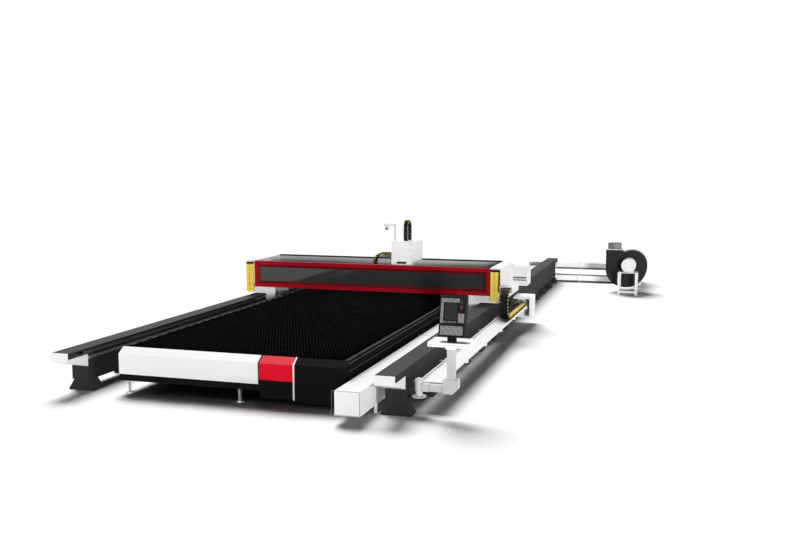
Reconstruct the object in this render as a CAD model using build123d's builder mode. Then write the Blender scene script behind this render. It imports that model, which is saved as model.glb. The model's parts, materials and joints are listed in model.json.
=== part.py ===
from build123d import *
import os
from math import cos, radians, sin

# Fiber laser cutting machine, in millimetres. +Z is up, +Y runs along the rails away from the
# operator and +X is to the operator's right. The origin is on the floor, under the bed's middle foot.

os.makedirs("parts", exist_ok=True)

# Clearances and overruns that all pieces share
running_gap = 0.5
shaft_gap = 0.05
overrun = 20

# Rails, which stand on both sides of the bed
rail_length = 17300
bed_half_width = 1900
rail_offset = 751.5
rail_width = 305
rail_top = 700
beam_top = 600
beam_bottom = 175
column_setback = 520
rail_half_spacing = bed_half_width + rail_offset
rail_front = -rail_length / 2
rail_back = rail_length / 2
rail_inner = rail_half_spacing - rail_width / 2
rail_outer = rail_half_spacing + rail_width / 2

# Bed
bed_setback = 460
bed_back_setback = 2650
bed_top = 750
bed_sheet = 10
frame_bottom = 226
frame_top = 336
bulkhead_setback = 30
chamfer_run = 140
chamfer_drop = 90
bed_front = rail_front + bed_setback
bed_back = rail_back - bed_back_setback
bed_length = bed_back - bed_front
bed_middle = (bed_front + bed_back) / 2

# Gantry, measured from the front plane of its red shield
gantry_front = -1650
shield_overhang = 59.5
shield_half_width = rail_half_spacing + shield_overhang
shield_bottom = 873
shield_top = 1460
shield_depth = 60
truck_bottom = 720
truck_top = 950
truck_inner_lap = 39
truck_outer_lap = 121
truck_inner = rail_inner - truck_inner_lap
truck_outer = rail_outer + truck_outer_lap
beam_setback = 560
beam_depth = 340
beam_face = gantry_front + beam_setback
beam_back = beam_face + beam_depth
gantry_beam_top = 1340
rear_shield_setback = 1400
rear_shield_face = gantry_front + rear_shield_setback

# Cutting head at rest
head_left = 450
head_width = 460
head_right = head_left + head_width
saddle_setback = 470
saddle_face = gantry_front + saddle_setback
saddle_plate = 30
saddle_top = 1500
cover_top = 1960

# Energy chains
chain_width = 170
chain_height = 80
chain_notch = 9

# Fan
fan_offset = 2326
fan_setback = 2400
fan_axis_height = 820
fan_depth = 400
fan_wall = 6
fan_x = rail_outer + fan_offset
fan_front = rail_back - fan_setback
fan_back = fan_front + fan_depth

# Console
column_offset = 174
console_setback = 620
arm_reach = 478
column_x = rail_outer + column_offset
console_y = rail_front + console_setback
post_x = column_x + arm_reach
tray_bottom = 1070
tray_height = 60


def profile(plane, points):
    """A closed outline with straight sides, drawn on a plane."""
    with BuildSketch(plane) as outline:
        with BuildLine():
            Polyline(*points, close=True)
        make_face()
    return outline.sketch


def across(x):
    """A plane that faces +X at x, drawn on with Y and Z."""
    return Plane.YZ.offset(x)


def along(y):
    """A plane that faces -Y at y, drawn on with X and Z."""
    return Plane.XZ.offset(-y)


def span_block(low, high):
    """A block between two corners, added to the part that is being built."""
    size = [b - a for a, b in zip(low, high)]
    middle = tuple((a + b) / 2 for a, b in zip(low, high))
    with Locations(middle):
        Box(*size)


def keep(piece, name):
    """Label a finished piece and write it."""
    piece.part.label = name
    export_step(piece.part, f"parts/{name}.step")


def chain_outline(stations, height, notch):
    """The side view of an energy chain: a link from each station to the next, with V notches between.

    A station is a point on the chain's middle line with the direction of travel there.
    """
    upper, lower = [], []
    for index, ((x, z), (dx, dz)) in enumerate(stations):
        first, last = index == 0, index == len(stations) - 1
        for side, run in ((1, upper), (-1, lower)):
            nx, nz = -dz * side * height / 2, dx * side * height / 2
            dip = 0 if first or last else notch
            scale = 1 - 2 * dip / height
            before = (x + nx - dx * dip / 2, z + nz - dz * dip / 2)
            valley = (x + nx * scale, z + nz * scale)
            after = (x + nx + dx * dip / 2, z + nz + dz * dip / 2)
            run += [valley] if first or last else [before, valley, after]
    return upper + lower[::-1]


def straight_stations(start, direction, length, count):
    """Stations at equal steps along a straight run, the far end left out."""
    (x, z), (dx, dz) = start, direction
    return [((x + dx * length * i / count, z + dz * length * i / count), direction) for i in range(count)]


def bend_stations(centre, radius, start_angle, turn, count):
    """Stations at equal steps around a bend, the far end left out; a positive turn is anticlockwise."""
    stations = []
    for i in range(count):
        angle = radians(start_angle + turn * i / count)
        way = 1 if turn > 0 else -1
        point = (centre[0] + radius * cos(angle), centre[1] + radius * sin(angle))
        stations.append((point, (-sin(angle) * way, cos(angle) * way)))
    return stations


# Rail beams: closed box girders between the columns of the end noses
with BuildPart() as rail_beams:
    for side in (-1, 1):
        with BuildSketch(Plane.XZ):
            with Locations((side * rail_half_spacing, (beam_top + beam_bottom) / 2)):
                Rectangle(rail_width, beam_top - beam_bottom)
        extrude(amount=rail_length / 2 - column_setback, both=True)
keep(rail_beams, "rail_beams")

# End noses: white wedges that hang out past the columns and close the covers' ends
nose_face_height = 136
nose_root_height = 190
nose_flat = 20
end_plate = 25

with BuildPart() as rail_end_noses:
    nose = [
        (rail_front, rail_top),
        (rail_front, rail_top - nose_face_height),
        (rail_front + column_setback - nose_flat, beam_top - nose_root_height),
        (rail_front + column_setback, beam_top - nose_root_height),
        (rail_front + column_setback, beam_top),
        (rail_front + end_plate, beam_top),
        (rail_front + end_plate, rail_top),
    ]
    extrude(profile(across(rail_inner), nose), amount=rail_width)
    mirror(about=Plane.XZ)
    mirror(about=Plane.YZ)
keep(rail_end_noses, "rail_end_noses")

# Rail covers: folded hoods, open on the inner side where the gantry reaches its guides
cover_sheet = 6
cover_lip = 25
stay_depth = 90
end_foot_setback = 670
foot_count = 14
foot_pitch = (rail_length - 2 * end_foot_setback) / (foot_count - 1)

with BuildPart() as rail_covers:
    hood = [
        (rail_inner, rail_top - cover_lip),
        (rail_inner, rail_top),
        (rail_outer, rail_top),
        (rail_outer, beam_top),
        (rail_outer - cover_sheet, beam_top),
        (rail_outer - cover_sheet, rail_top - cover_sheet),
        (rail_inner + cover_sheet, rail_top - cover_sheet),
        (rail_inner + cover_sheet, rail_top - cover_lip),
    ]
    extrude(profile(Plane.XZ, hood), amount=rail_length / 2 - end_plate, both=True)
    stay_x = rail_outer - cover_sheet - stay_depth / 2
    stay_z = (beam_top + rail_top - cover_sheet) / 2
    with Locations((stay_x, 0, stay_z)):
        with GridLocations(foot_pitch, foot_pitch, 1, foot_count):
            Box(stay_depth, cover_sheet, rail_top - cover_sheet - beam_top)
    mirror(about=Plane.YZ)
keep(rail_covers, "rail_covers")

# Rail feet: flared pedestals under each beam
foot_width = 460
foot_length = 280
foot_neck_length = 190
foot_plate = 18

with BuildPart() as rail_foot:
    with BuildSketch(Plane.XY):
        Rectangle(foot_width, foot_length)
    extrude(amount=foot_plate)
    flare = [
        (-foot_width / 2, foot_plate),
        (foot_width / 2, foot_plate),
        (rail_width / 2, beam_bottom),
        (-rail_width / 2, beam_bottom),
    ]
    extrude(profile(Plane.XZ, flare), amount=foot_length / 2, both=True)
    taper = [
        (-foot_length / 2, 0),
        (foot_length / 2, 0),
        (foot_length / 2, foot_plate),
        (foot_neck_length / 2, beam_bottom),
        (-foot_neck_length / 2, beam_bottom),
        (-foot_length / 2, foot_plate),
    ]
    extrude(profile(Plane.YZ, taper), amount=foot_width / 2, both=True, mode=Mode.INTERSECT)

with BuildPart() as rail_feet:
    with GridLocations(2 * rail_half_spacing, foot_pitch, 2, foot_count):
        add(rail_foot.part)
keep(rail_feet, "rail_feet")

# Linear guides on the beams' tops, and gear racks on their inner faces
guide_width = 45
guide_height = 50
guide_inset = 38
rack_depth = 25
rack_height = 40
rack_drop = 30
rack_top = beam_top - rack_drop

with BuildPart() as rail_guides:
    guide_x = rail_inner + guide_inset + guide_width / 2
    for side in (-1, 1):
        with BuildSketch(Plane.XZ):
            with Locations((side * guide_x, beam_top + guide_height / 2)):
                Rectangle(guide_width, guide_height)
            with Locations((side * (rail_inner - rack_depth / 2), rack_top - rack_height / 2)):
                Rectangle(rack_depth, rack_height)
        extrude(amount=rail_length / 2 - column_setback, both=True)
keep(rail_guides, "rail_guides")

# Bed frame: a welded ladder with a front bulkhead and a top rail behind the front covers
sill_width = 120
rung_count = 11
rung_width = 110
bulkhead = 10
top_rail = 10
top_rail_gap = 24
frame_front = bed_front + bulkhead_setback
frame_back = bed_back - bulkhead_setback
bulkhead_top = bed_top - chamfer_drop - bed_sheet
top_rail_y = bed_front + chamfer_run

with BuildPart() as bed_frame:
    with BuildSketch(Plane.XY.offset(frame_bottom)):
        for x in (-1, 0, 1):
            with Locations((x * (bed_half_width - bed_sheet - sill_width / 2), bed_middle)):
                Rectangle(sill_width, frame_back - frame_front)
        rung_pitch = (frame_back - frame_front - rung_width) / (rung_count - 1)
        with Locations((0, bed_middle)):
            with GridLocations(rung_pitch, rung_pitch, 1, rung_count):
                Rectangle(2 * (bed_half_width - bed_sheet), rung_width)
    extrude(amount=frame_top - frame_bottom)
    inner_half = bed_half_width - bed_sheet
    span_block(
        (-inner_half, frame_front, frame_bottom),
        (inner_half, frame_front + bulkhead, bulkhead_top),
    )
    span_block(
        (-inner_half, top_rail_y - top_rail, bulkhead_top - rung_width),
        (inner_half, top_rail_y, bed_top - top_rail_gap),
    )
    span_block(
        (-inner_half, frame_front, bulkhead_top - rung_width),
        (inner_half, top_rail_y, bulkhead_top - rung_width + bulkhead),
    )
keep(bed_frame, "bed_frame")

# Bed side walls: folded sheets with a flange along the top
side_flange = 60

with BuildPart() as bed_sides:
    wall = [
        (bed_half_width, frame_bottom),
        (bed_half_width, bed_top),
        (bed_half_width - side_flange, bed_top),
        (bed_half_width - side_flange, bed_top - bed_sheet),
        (bed_half_width - bed_sheet, bed_top - bed_sheet),
        (bed_half_width - bed_sheet, frame_bottom),
    ]
    wall_start = top_rail_y
    extrude(profile(along(wall_start), wall), amount=-(bed_back - bed_sheet - wall_start))
    cheek = [
        (frame_front, frame_bottom),
        (frame_front, bulkhead_top),
        (top_rail_y, bed_top - top_rail_gap),
        (top_rail_y, frame_bottom),
    ]
    extrude(profile(across(bed_half_width - bed_sheet), cheek), amount=bed_sheet)
    mirror(about=Plane.YZ)
keep(bed_sides, "bed_sides")

# Front covers of the bed: each is a sheet with a sloping top
front_sheet = 6
white_gap = 25
white_bottom = 336
red_width = 545
red_inset = 820
red_right = bed_half_width - red_inset
red_left = red_right - red_width
white_left = -(bed_half_width - bed_sheet)
white_right = red_left - white_gap
red_bottom = 408
red_proud = 8
edge_plate = 20
edge_bottom = 128
edge_proud = 4
panel_sheet = 12
lower_plate_bottom = 130
panel_bottom = 90
slope_y = bed_front + chamfer_run
slope_z = bed_top - chamfer_drop
bulkhead_face = frame_front


def folded_cover(face, bottom):
    """Side view of a front cover: face, sloping top and a lip turned back to the bulkhead."""
    return [
        (face, bottom),
        (face, slope_z),
        (slope_y, bed_top),
        (slope_y, bed_top - front_sheet),
        (face + front_sheet, slope_z - front_sheet),
        (face + front_sheet, bottom + front_sheet),
        (bulkhead_face, bottom + front_sheet),
        (bulkhead_face, bottom),
    ]


def flat_panel(face, bottom, proud):
    """Side view of a thick front panel that stands straight against the bulkhead."""
    return [
        (face, bottom),
        (face, slope_z + proud),
        (slope_y, bed_top + proud),
        (slope_y, bed_top - panel_sheet),
        (bulkhead_face, bulkhead_top),
        (bulkhead_face, bottom),
    ]


with BuildPart() as bed_front_white_panels:
    extrude(
        profile(across(white_left), folded_cover(bed_front, white_bottom)),
        amount=white_right - white_left,
    )
    extrude(
        profile(across(red_right), flat_panel(bed_front - edge_proud, edge_bottom, edge_proud)),
        amount=edge_plate,
    )
keep(bed_front_white_panels, "bed_front_white_panels")

with BuildPart() as bed_front_red_panel:
    extrude(
        profile(across(red_left), folded_cover(bed_front - red_proud, red_bottom)),
        amount=red_right - red_left,
    )
keep(bed_front_red_panel, "bed_front_red_panel")

with BuildPart() as bed_front_black_panels:
    span_block(
        (red_left, bulkhead_face - panel_sheet, lower_plate_bottom),
        (red_right, bulkhead_face, red_bottom - running_gap),
    )
    extrude(
        profile(across(red_right + edge_plate), flat_panel(bulkhead_face - panel_sheet, panel_bottom, 0)),
        amount=bed_half_width - red_right - edge_plate,
    )
keep(bed_front_black_panels, "bed_front_black_panels")

# Rear cover of the bed
with BuildPart() as bed_rear_cover:
    span_block(
        (-bed_half_width, bed_back - bed_sheet, frame_bottom),
        (bed_half_width, bed_back, bed_top),
    )
keep(bed_rear_cover, "bed_rear_cover")

# Levelling feet: an eight-sided pad with a hexagonal stud up to the frame
pad_radius = 62
pad_height = 22
stud_radius = 26
foot_inset = 100
foot_end_setback = 150
front_rows = 3
back_rows = 2
front_middle_foot_x = 130
pad_sides = 8
stud_sides = 6
foot_x = bed_half_width - foot_inset
foot_row_pitch = (-bed_front - foot_end_setback) / front_rows

with BuildPart() as bed_foot:
    with BuildSketch(Plane.XY):
        RegularPolygon(pad_radius, pad_sides)
    extrude(amount=pad_height)
    with BuildSketch(Plane.XY.offset(pad_height)):
        RegularPolygon(stud_radius, stud_sides)
    extrude(amount=frame_bottom - pad_height)

foot_spots = []
for row in range(-front_rows, back_rows + 1):
    middle_x = front_middle_foot_x if row == -front_rows else 0
    for x in (-foot_x, middle_x, foot_x):
        foot_spots.append((x, row * foot_row_pitch, 0))

with BuildPart() as bed_feet:
    with Locations(*foot_spots):
        add(bed_foot.part)
keep(bed_feet, "bed_feet")

# Slats with saw teeth along the top, dropped into notched combs
slat_end_gap = 120
slat_sheet = 6
slat_bottom = 610
slat_valley = 700
slat_tip = 745
slat_count = 60
teeth = 6
comb_inset = 160
comb_sheet = 6
comb_bottom = 560
comb_top = 690
slat_margin = 160
slat_half_length = bed_half_width - slat_end_gap
comb_x = bed_half_width - comb_inset
slat_length_y = bed_length - chamfer_run - 2 * slat_margin
slat_pitch = slat_length_y / (slat_count - 1)
slat_middle_y = bed_middle + chamfer_run / 2

with BuildPart() as slat:
    edge = [(-slat_half_length, slat_bottom), (-slat_half_length, slat_valley)]
    tooth_pitch = 2 * slat_half_length / teeth
    for i in range(teeth):
        edge.append((-slat_half_length + tooth_pitch * (i + 0.5), slat_tip))
        edge.append((-slat_half_length + tooth_pitch * (i + 1), slat_valley))
    edge.append((slat_half_length, slat_bottom))
    extrude(profile(Plane.XZ, edge), amount=slat_sheet / 2, both=True)

with BuildPart() as slats:
    with Locations((0, slat_middle_y, 0)):
        with GridLocations(slat_pitch, slat_pitch, 1, slat_count):
            add(slat.part)
keep(slats, "slats")

comb_ends = bed_length / 2 - chamfer_run / 2 - bed_sheet

with BuildPart() as slat_combs:
    strip = [(slat_middle_y - comb_ends, comb_bottom), (slat_middle_y - comb_ends, comb_top)]
    for i in range(slat_count):
        y = slat_middle_y + (i - (slat_count - 1) / 2) * slat_pitch
        half = slat_sheet / 2 + running_gap
        strip += [(y - half, comb_top), (y - half, slat_bottom)]
        strip += [(y + half, slat_bottom), (y + half, comb_top)]
    strip += [(slat_middle_y + comb_ends, comb_top), (slat_middle_y + comb_ends, comb_bottom)]
    extrude(profile(across(comb_x), strip), amount=comb_sheet)
    span_block(
        (comb_x, slat_middle_y - comb_ends, comb_bottom),
        (bed_half_width - bed_sheet, slat_middle_y + comb_ends, comb_bottom + comb_sheet),
    )
    mirror(about=Plane.YZ)
keep(slat_combs, "slat_combs")

# Slag trays: shallow hoppers under the slats
tray_count = 6
tray_sheet = 6
hopper_run = 500
tray_gap = 60
tray_floor_half = bed_half_width - hopper_run
tray_pitch = slat_length_y / tray_count

with BuildPart() as slag_trays:
    hopper = [
        (-comb_x, comb_bottom),
        (-tray_floor_half, frame_top),
        (tray_floor_half, frame_top),
        (comb_x, comb_bottom),
        (comb_x - 2 * tray_sheet, comb_bottom),
        (tray_floor_half - tray_sheet, frame_top + tray_sheet),
        (-tray_floor_half + tray_sheet, frame_top + tray_sheet),
        (-comb_x + 2 * tray_sheet, comb_bottom),
    ]
    for i in range(tray_count):
        middle = slat_middle_y + (i - (tray_count - 1) / 2) * tray_pitch
        extrude(profile(along(middle), hopper), amount=(tray_pitch - tray_gap) / 2, both=True)
keep(slag_trays, "slag_trays")

# Side duct beside the bed, with ports into the bed's side wall
duct_gap = 74
duct_width = 372
duct_bottom = 136
duct_top = 488
duct_overhang = 157
header_setback = 400
port_width = 300
port_height = 120
port_count = 5
duct_left = bed_half_width + duct_gap
duct_right = duct_left + duct_width
duct_front = rail_front - duct_overhang
header_front = rail_back - header_setback
port_pitch = bed_length / port_count

with BuildPart() as side_duct:
    span_block((duct_left, duct_front, duct_bottom), (duct_right, header_front, duct_top))
    port_x = (bed_half_width + duct_left) / 2
    with Locations((port_x, bed_middle, duct_top - port_height)):
        with GridLocations(port_pitch, port_pitch, 1, port_count):
            Box(duct_left - bed_half_width, port_width, port_height)
keep(side_duct, "side_duct")

post_size = 44
post_rows = 6
post_setback = 620
post_end_gap = 280
post_front = rail_front + post_setback
post_pitch = (header_front - post_end_gap - post_front) / (post_rows - 1)

with BuildPart() as side_duct_feet:
    for row in range(post_rows):
        for x in (duct_left + post_size / 2, duct_right - post_size / 2):
            with Locations((x, post_front + row * post_pitch, duct_bottom / 2)):
                Box(post_size, post_size, duct_bottom)
keep(side_duct_feet, "side_duct_feet")

# Rear header and the two cross ducts that carry the fumes to the fan's inlet box
header_inner_rim = 19
header_outer_rim = 54
header_overhang = 450
header_top = 600
low_inset = 20
low_depth = 300
low_bottom = 30
low_top = 250
high_gap = 100
high_depth = 300
high_bottom = 355
high_top = 560
inlet_half_width = 250
inlet_setback = 600
inlet_top = 1060
header_left = duct_left - header_inner_rim
header_right = duct_right + header_outer_rim
header_back = rail_back + header_overhang
low_front = header_front + low_inset
high_front = rail_back + high_gap
inlet_left = fan_x - inlet_half_width
inlet_right = fan_x + inlet_half_width
inlet_front = rail_back - inlet_setback

with BuildPart() as duct_header:
    span_block((header_left, header_front, 0), (header_right, header_back, header_top))
keep(duct_header, "duct_header")

with BuildPart() as cross_ducts:
    span_block((header_right, low_front, low_bottom), (inlet_left, low_front + low_depth, low_top))
    span_block((header_right, high_front, high_bottom), (inlet_left, high_front + high_depth, high_top))
keep(cross_ducts, "cross_ducts")

# Flanges: a frame round each cross duct, and the plate on the fan's outlet
flange_offset = 696
flange_thick = 16
flange_rim = 28
outlet_reach = 654
outlet_width = 460
outlet_top = 1220
outlet_rim = 32
collar_radius = 190
collar_wall = 6
collar_top = 1400
flange_x = rail_outer + flange_offset
outlet_left = fan_x - outlet_reach
outlet_right = outlet_left + outlet_width
outlet_x = (outlet_left + outlet_right) / 2
outlet_y = fan_front + fan_depth / 2

with BuildPart() as duct_flanges:
    for front, depth, bottom, top in (
        (low_front, low_depth, low_bottom, low_top),
        (high_front, high_depth, high_bottom, high_top),
    ):
        with BuildSketch(across(flange_x)):
            with Locations((front + depth / 2, (bottom + top) / 2)):
                Rectangle(depth + 2 * flange_rim, top - bottom + 2 * flange_rim)
                Rectangle(depth, top - bottom, mode=Mode.SUBTRACT)
        extrude(amount=flange_thick)
    with BuildSketch(Plane.XY.offset(outlet_top)):
        with Locations((outlet_x, outlet_y)):
            Rectangle(outlet_right - outlet_left + 2 * outlet_rim, fan_depth + 2 * outlet_rim)
            Circle(collar_radius - collar_wall, mode=Mode.SUBTRACT)
    extrude(amount=flange_thick)
keep(duct_flanges, "duct_flanges")

with BuildPart() as fan_outlet_collar:
    with BuildSketch(Plane.XY.offset(outlet_top + flange_thick)):
        with Locations((outlet_x, outlet_y)):
            Circle(collar_radius)
            Circle(collar_radius - collar_wall, mode=Mode.SUBTRACT)
    extrude(amount=collar_top - outlet_top - flange_thick)
keep(fan_outlet_collar, "fan_outlet_collar")

# Inlet box behind the fan, with the round pipe to the scroll
pipe_radius = 215

with BuildPart() as fan_inlet_box:
    span_block((inlet_left, inlet_front, 0), (inlet_right, header_back, inlet_top))
    with BuildSketch(along(inlet_front)):
        with Locations((fan_x, fan_axis_height)):
            Circle(pipe_radius)
    extrude(amount=inlet_front - fan_back)
keep(fan_inlet_box, "fan_inlet_box")

# Fan scroll: a spiral that grows clockwise from the tongue to the outlet on the left, as angle and radius
spiral_spots = ((120, 360), (84, 391), (-5, 485), (-63, 597), (-105, 684), (-138, 718), (-163, 684))
eye_radius = 200
shaft_hole = 40


def spiral_point(angle, radius):
    """A point of the scroll's spiral wall, from its angle and radius about the fan's axis."""
    return (fan_x + radius * cos(radians(angle)), fan_axis_height + radius * sin(radians(angle)))


def scroll_face(y, inset, top):
    """The scroll's outline on a plane that faces the operator."""
    wall = [spiral_point(angle, radius - inset) for angle, radius in spiral_spots]
    with BuildSketch(along(y)) as outline:
        with BuildLine():
            for start in range(0, len(wall) - 1, 2):
                ThreePointArc(wall[start], wall[start + 1], wall[start + 2])
            Polyline(wall[-1], (outlet_left + inset, top), (outlet_right - inset, top), wall[0])
        make_face()
    return outline.sketch


with BuildPart() as fan_housing:
    extrude(scroll_face(fan_back, 0, outlet_top), amount=fan_depth)
    extrude(
        scroll_face(fan_back - fan_wall, fan_wall, outlet_top + overrun),
        amount=fan_depth - 2 * fan_wall,
        mode=Mode.SUBTRACT,
    )
    with BuildSketch(along(fan_back + overrun)):
        with Locations((fan_x, fan_axis_height)):
            Circle(eye_radius)
    extrude(amount=fan_wall + 2 * overrun, mode=Mode.SUBTRACT)
    with BuildSketch(along(fan_front + fan_wall + overrun)):
        with Locations((fan_x, fan_axis_height)):
            Circle(shaft_hole)
    extrude(amount=fan_wall + 2 * overrun, mode=Mode.SUBTRACT)
keep(fan_housing, "fan_housing")

# Impeller: back plate, backward-leaning blades, shroud ring, hub and the shaft into the motor
wheel_radius = 300
wheel_plate = 8
wheel_margin = 60
blade_count = 10
blade_sheet = 6
blade_length = 110
blade_lean = 40
blade_radius = 245
shroud_inner = 195
hub_radius = 60
hub_length = 100
shaft_radius = 25
shaft_reach = 60
wheel_front = fan_front + wheel_margin
wheel_back = fan_back - wheel_margin

with BuildPart() as fan_impeller:
    with BuildSketch(along(wheel_front + wheel_plate)):
        with Locations((fan_x, fan_axis_height)):
            Circle(wheel_radius)
    extrude(amount=wheel_plate)
    with BuildSketch(along(wheel_back)):
        with Locations((fan_x, fan_axis_height)):
            Circle(wheel_radius)
            Circle(shroud_inner, mode=Mode.SUBTRACT)
    extrude(amount=wheel_plate)
    with BuildSketch(along(wheel_back - wheel_plate)):
        with Locations((fan_x, fan_axis_height)):
            with PolarLocations(blade_radius, blade_count):
                Rectangle(blade_length, blade_sheet, rotation=blade_lean)
    extrude(amount=wheel_back - wheel_front - 2 * wheel_plate)
    with BuildSketch(along(wheel_front + wheel_plate + hub_length)):
        with Locations((fan_x, fan_axis_height)):
            Circle(hub_radius)
    extrude(amount=hub_length)
    with BuildSketch(along(wheel_front)):
        with Locations((fan_x, fan_axis_height)):
            Circle(shaft_radius)
    extrude(amount=wheel_margin + shaft_reach)
keep(fan_impeller, "fan_impeller")

# Fan motor: cowl, body and flange turned about the fan's axis, on a cast foot
cowl_radius = 190
cowl_length = 70
body_radius = 165
motor_length = 500
flange_radius = 185
flange_length = 24
motor_foot_half = 130
stand_top = 630
motor_front = fan_front - motor_length

with BuildPart() as fan_motor:
    with BuildSketch(Plane.XY.offset(fan_axis_height)):
        with BuildLine():
            Polyline(
                (fan_x, motor_front),
                (fan_x + cowl_radius, motor_front),
                (fan_x + cowl_radius, motor_front + cowl_length),
                (fan_x + body_radius, motor_front + cowl_length),
                (fan_x + body_radius, fan_front - flange_length),
                (fan_x + flange_radius, fan_front - flange_length),
                (fan_x + flange_radius, fan_front),
                (fan_x, fan_front),
                close=True,
            )
        make_face()
    revolve(axis=Axis((fan_x, 0, fan_axis_height), (0, 1, 0)))
    span_block(
        (fan_x - motor_foot_half, motor_front + cowl_length, stand_top),
        (fan_x + motor_foot_half, fan_front - flange_length, fan_axis_height - body_radius / 2),
    )
    with BuildSketch(along(fan_front)):
        with Locations((fan_x, fan_axis_height)):
            Circle(shaft_radius + shaft_gap)
    extrude(amount=shaft_reach + running_gap, mode=Mode.SUBTRACT)
keep(fan_motor, "fan_motor")

# Fan stand: a welded frame of square tube under the motor
stand_left_reach = 280
stand_right_reach = 250
stand_margin = 40
stand_gap = 10
stand_tube = 60
stand_plate = 12
stand_left = fan_x - stand_left_reach
stand_right = fan_x + stand_right_reach
stand_front = motor_front - stand_margin
stand_back = fan_front - stand_gap

with BuildPart() as fan_stand:
    stand_x = (stand_left + stand_right) / 2
    stand_y = (stand_front + stand_back) / 2
    leg_x = stand_right - stand_left - stand_tube
    leg_y = stand_back - stand_front - stand_tube
    with BuildSketch(Plane.XY):
        with Locations((stand_x, stand_y)):
            with GridLocations(leg_x, leg_y, 2, 2):
                Rectangle(stand_tube, stand_tube)
    extrude(amount=stand_top - stand_plate)
    with BuildSketch(Plane.XY.offset(stand_tube)):
        with Locations((stand_x, stand_y)):
            Rectangle(leg_x + stand_tube, leg_y + stand_tube)
            Rectangle(leg_x - stand_tube, leg_y - stand_tube, mode=Mode.SUBTRACT)
    extrude(amount=stand_tube)
    with BuildSketch(Plane.XY.offset(stand_top - stand_plate)):
        with Locations((stand_x, stand_y)):
            Rectangle(leg_x + stand_tube, leg_y + stand_tube)
    extrude(amount=stand_plate)
keep(fan_stand, "fan_stand")

# Cable trough along the right rail: a floor sheet between two side strips, on brackets from the rail's side
trough_gap = 119
trough_width = 329
trough_floor = 440
trough_sheet = 6
trough_top = 480
seam_gap = 0.2
trough_setback = 900
trough_back = -100
bracket_width = 60
bracket_count = 6
bracket_inset = 60
bracket_end_gap = 240
bracket_height = 16
bracket_lug = 30
trough_left = rail_outer + trough_gap
trough_right = trough_left + trough_width
trough_front = rail_front + trough_setback
bracket_front = trough_front + bracket_inset
bracket_pitch = (trough_back - bracket_end_gap - bracket_front) / (bracket_count - 1)

with BuildPart() as cable_trough:
    floor_left, floor_right = trough_left + trough_sheet, trough_right - trough_sheet
    span_block(
        (floor_left + seam_gap, trough_front, trough_floor),
        (floor_right - seam_gap, trough_back, trough_floor + trough_sheet),
    )
    span_block((trough_left, trough_front, trough_floor), (floor_left, trough_back, trough_top))
    span_block((floor_right, trough_front, trough_floor), (trough_right, trough_back, trough_top))
keep(cable_trough, "cable_trough")

with BuildPart() as trough_brackets:
    hanger = [
        (rail_outer, trough_floor - bracket_height),
        (trough_right + bracket_lug, trough_floor - bracket_height),
        (trough_right + bracket_lug, trough_floor + bracket_lug),
        (trough_right, trough_floor + bracket_lug),
        (trough_right, trough_floor),
        (trough_left, trough_floor),
        (trough_left, trough_floor + bracket_lug),
        (trough_left - bracket_lug, trough_floor + bracket_lug),
        (trough_left - bracket_lug, trough_floor),
        (rail_outer, trough_floor),
    ]
    for i in range(bracket_count):
        extrude(profile(along(bracket_front + i * bracket_pitch), hanger), amount=-bracket_width)
keep(trough_brackets, "trough_brackets")

# Long energy chain: the run that lies in the trough, and the loop up to the gantry
chain_inset = 87
chain_x = trough_left + chain_inset
chain_rest = trough_floor + trough_sheet + running_gap
loop_overhang = 530
loop_front = gantry_front - loop_overhang
loop_radius = 277
link_count = 26
loop_links = 9
upper_links = 2
clamp_overhang = 60
clamp_length = 260
clamp_margin = 14
clamp_slope = 110
loop_y = loop_front + loop_radius + chain_height / 2
loop_low = chain_rest + chain_height / 2
loop_high = loop_low + 2 * loop_radius
block_top = loop_low + chain_height / 2
clamp_front = gantry_front - clamp_overhang

with BuildPart() as y_chain_run:
    stations = straight_stations((loop_y, loop_low), (1, 0), trough_back - loop_y, link_count)
    stations.append(((trough_back, loop_low), (1, 0)))
    extrude(profile(across(chain_x), chain_outline(stations, chain_height, chain_notch)), amount=chain_width)
keep(y_chain_run, "y_chain_run")

# Anchor box at the fixed end of the long chain: a hood on the rail, open to the front, over the chain's clamp
hood_sheet = 40
hood_bottom = 200
hood_top = 660
hood_left_gap = 136
hood_right_gap = 536
hood_length = 600
block_length = 200
hood_left = rail_outer + hood_left_gap
hood_right = rail_outer + hood_right_gap
hood_back = trough_back + hood_length

with BuildPart() as chain_anchor_box:
    span_block((rail_outer, trough_back, hood_bottom), (hood_right, hood_back, hood_bottom + hood_sheet))
    span_block((hood_right - hood_sheet, trough_back, hood_bottom), (hood_right, hood_back, hood_top))
    span_block((hood_left, trough_back, hood_top - hood_sheet), (hood_right, hood_back, hood_top))
    span_block((hood_left, hood_back - hood_sheet, hood_bottom), (hood_right, hood_back, hood_top))
    block_back = trough_back + block_length
    span_block((chain_x, trough_back, hood_bottom), (chain_x + chain_width, block_back, block_top))
keep(chain_anchor_box, "chain_anchor_box")

with BuildPart() as y_chain_loop:
    stations = straight_stations((clamp_front, loop_high), (-1, 0), clamp_front - loop_y, upper_links)
    stations += bend_stations((loop_y, loop_low + loop_radius), loop_radius, 90, 180, loop_links)
    stations.append(((loop_y, loop_low), (1, 0)))
    extrude(profile(across(chain_x), chain_outline(stations, chain_height, chain_notch)), amount=chain_width)
keep(y_chain_loop, "y_chain_loop")

# Console bracket: a plate on the rail's side with a shelf and two gussets
bracket_plate = 12
shelf_half = 100
shelf_overhang = 122
shelf_top = 288
shelf_sheet = 14
gusset_drop = 96
plate_top = 420
shelf_right = column_x + shelf_overhang

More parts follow.
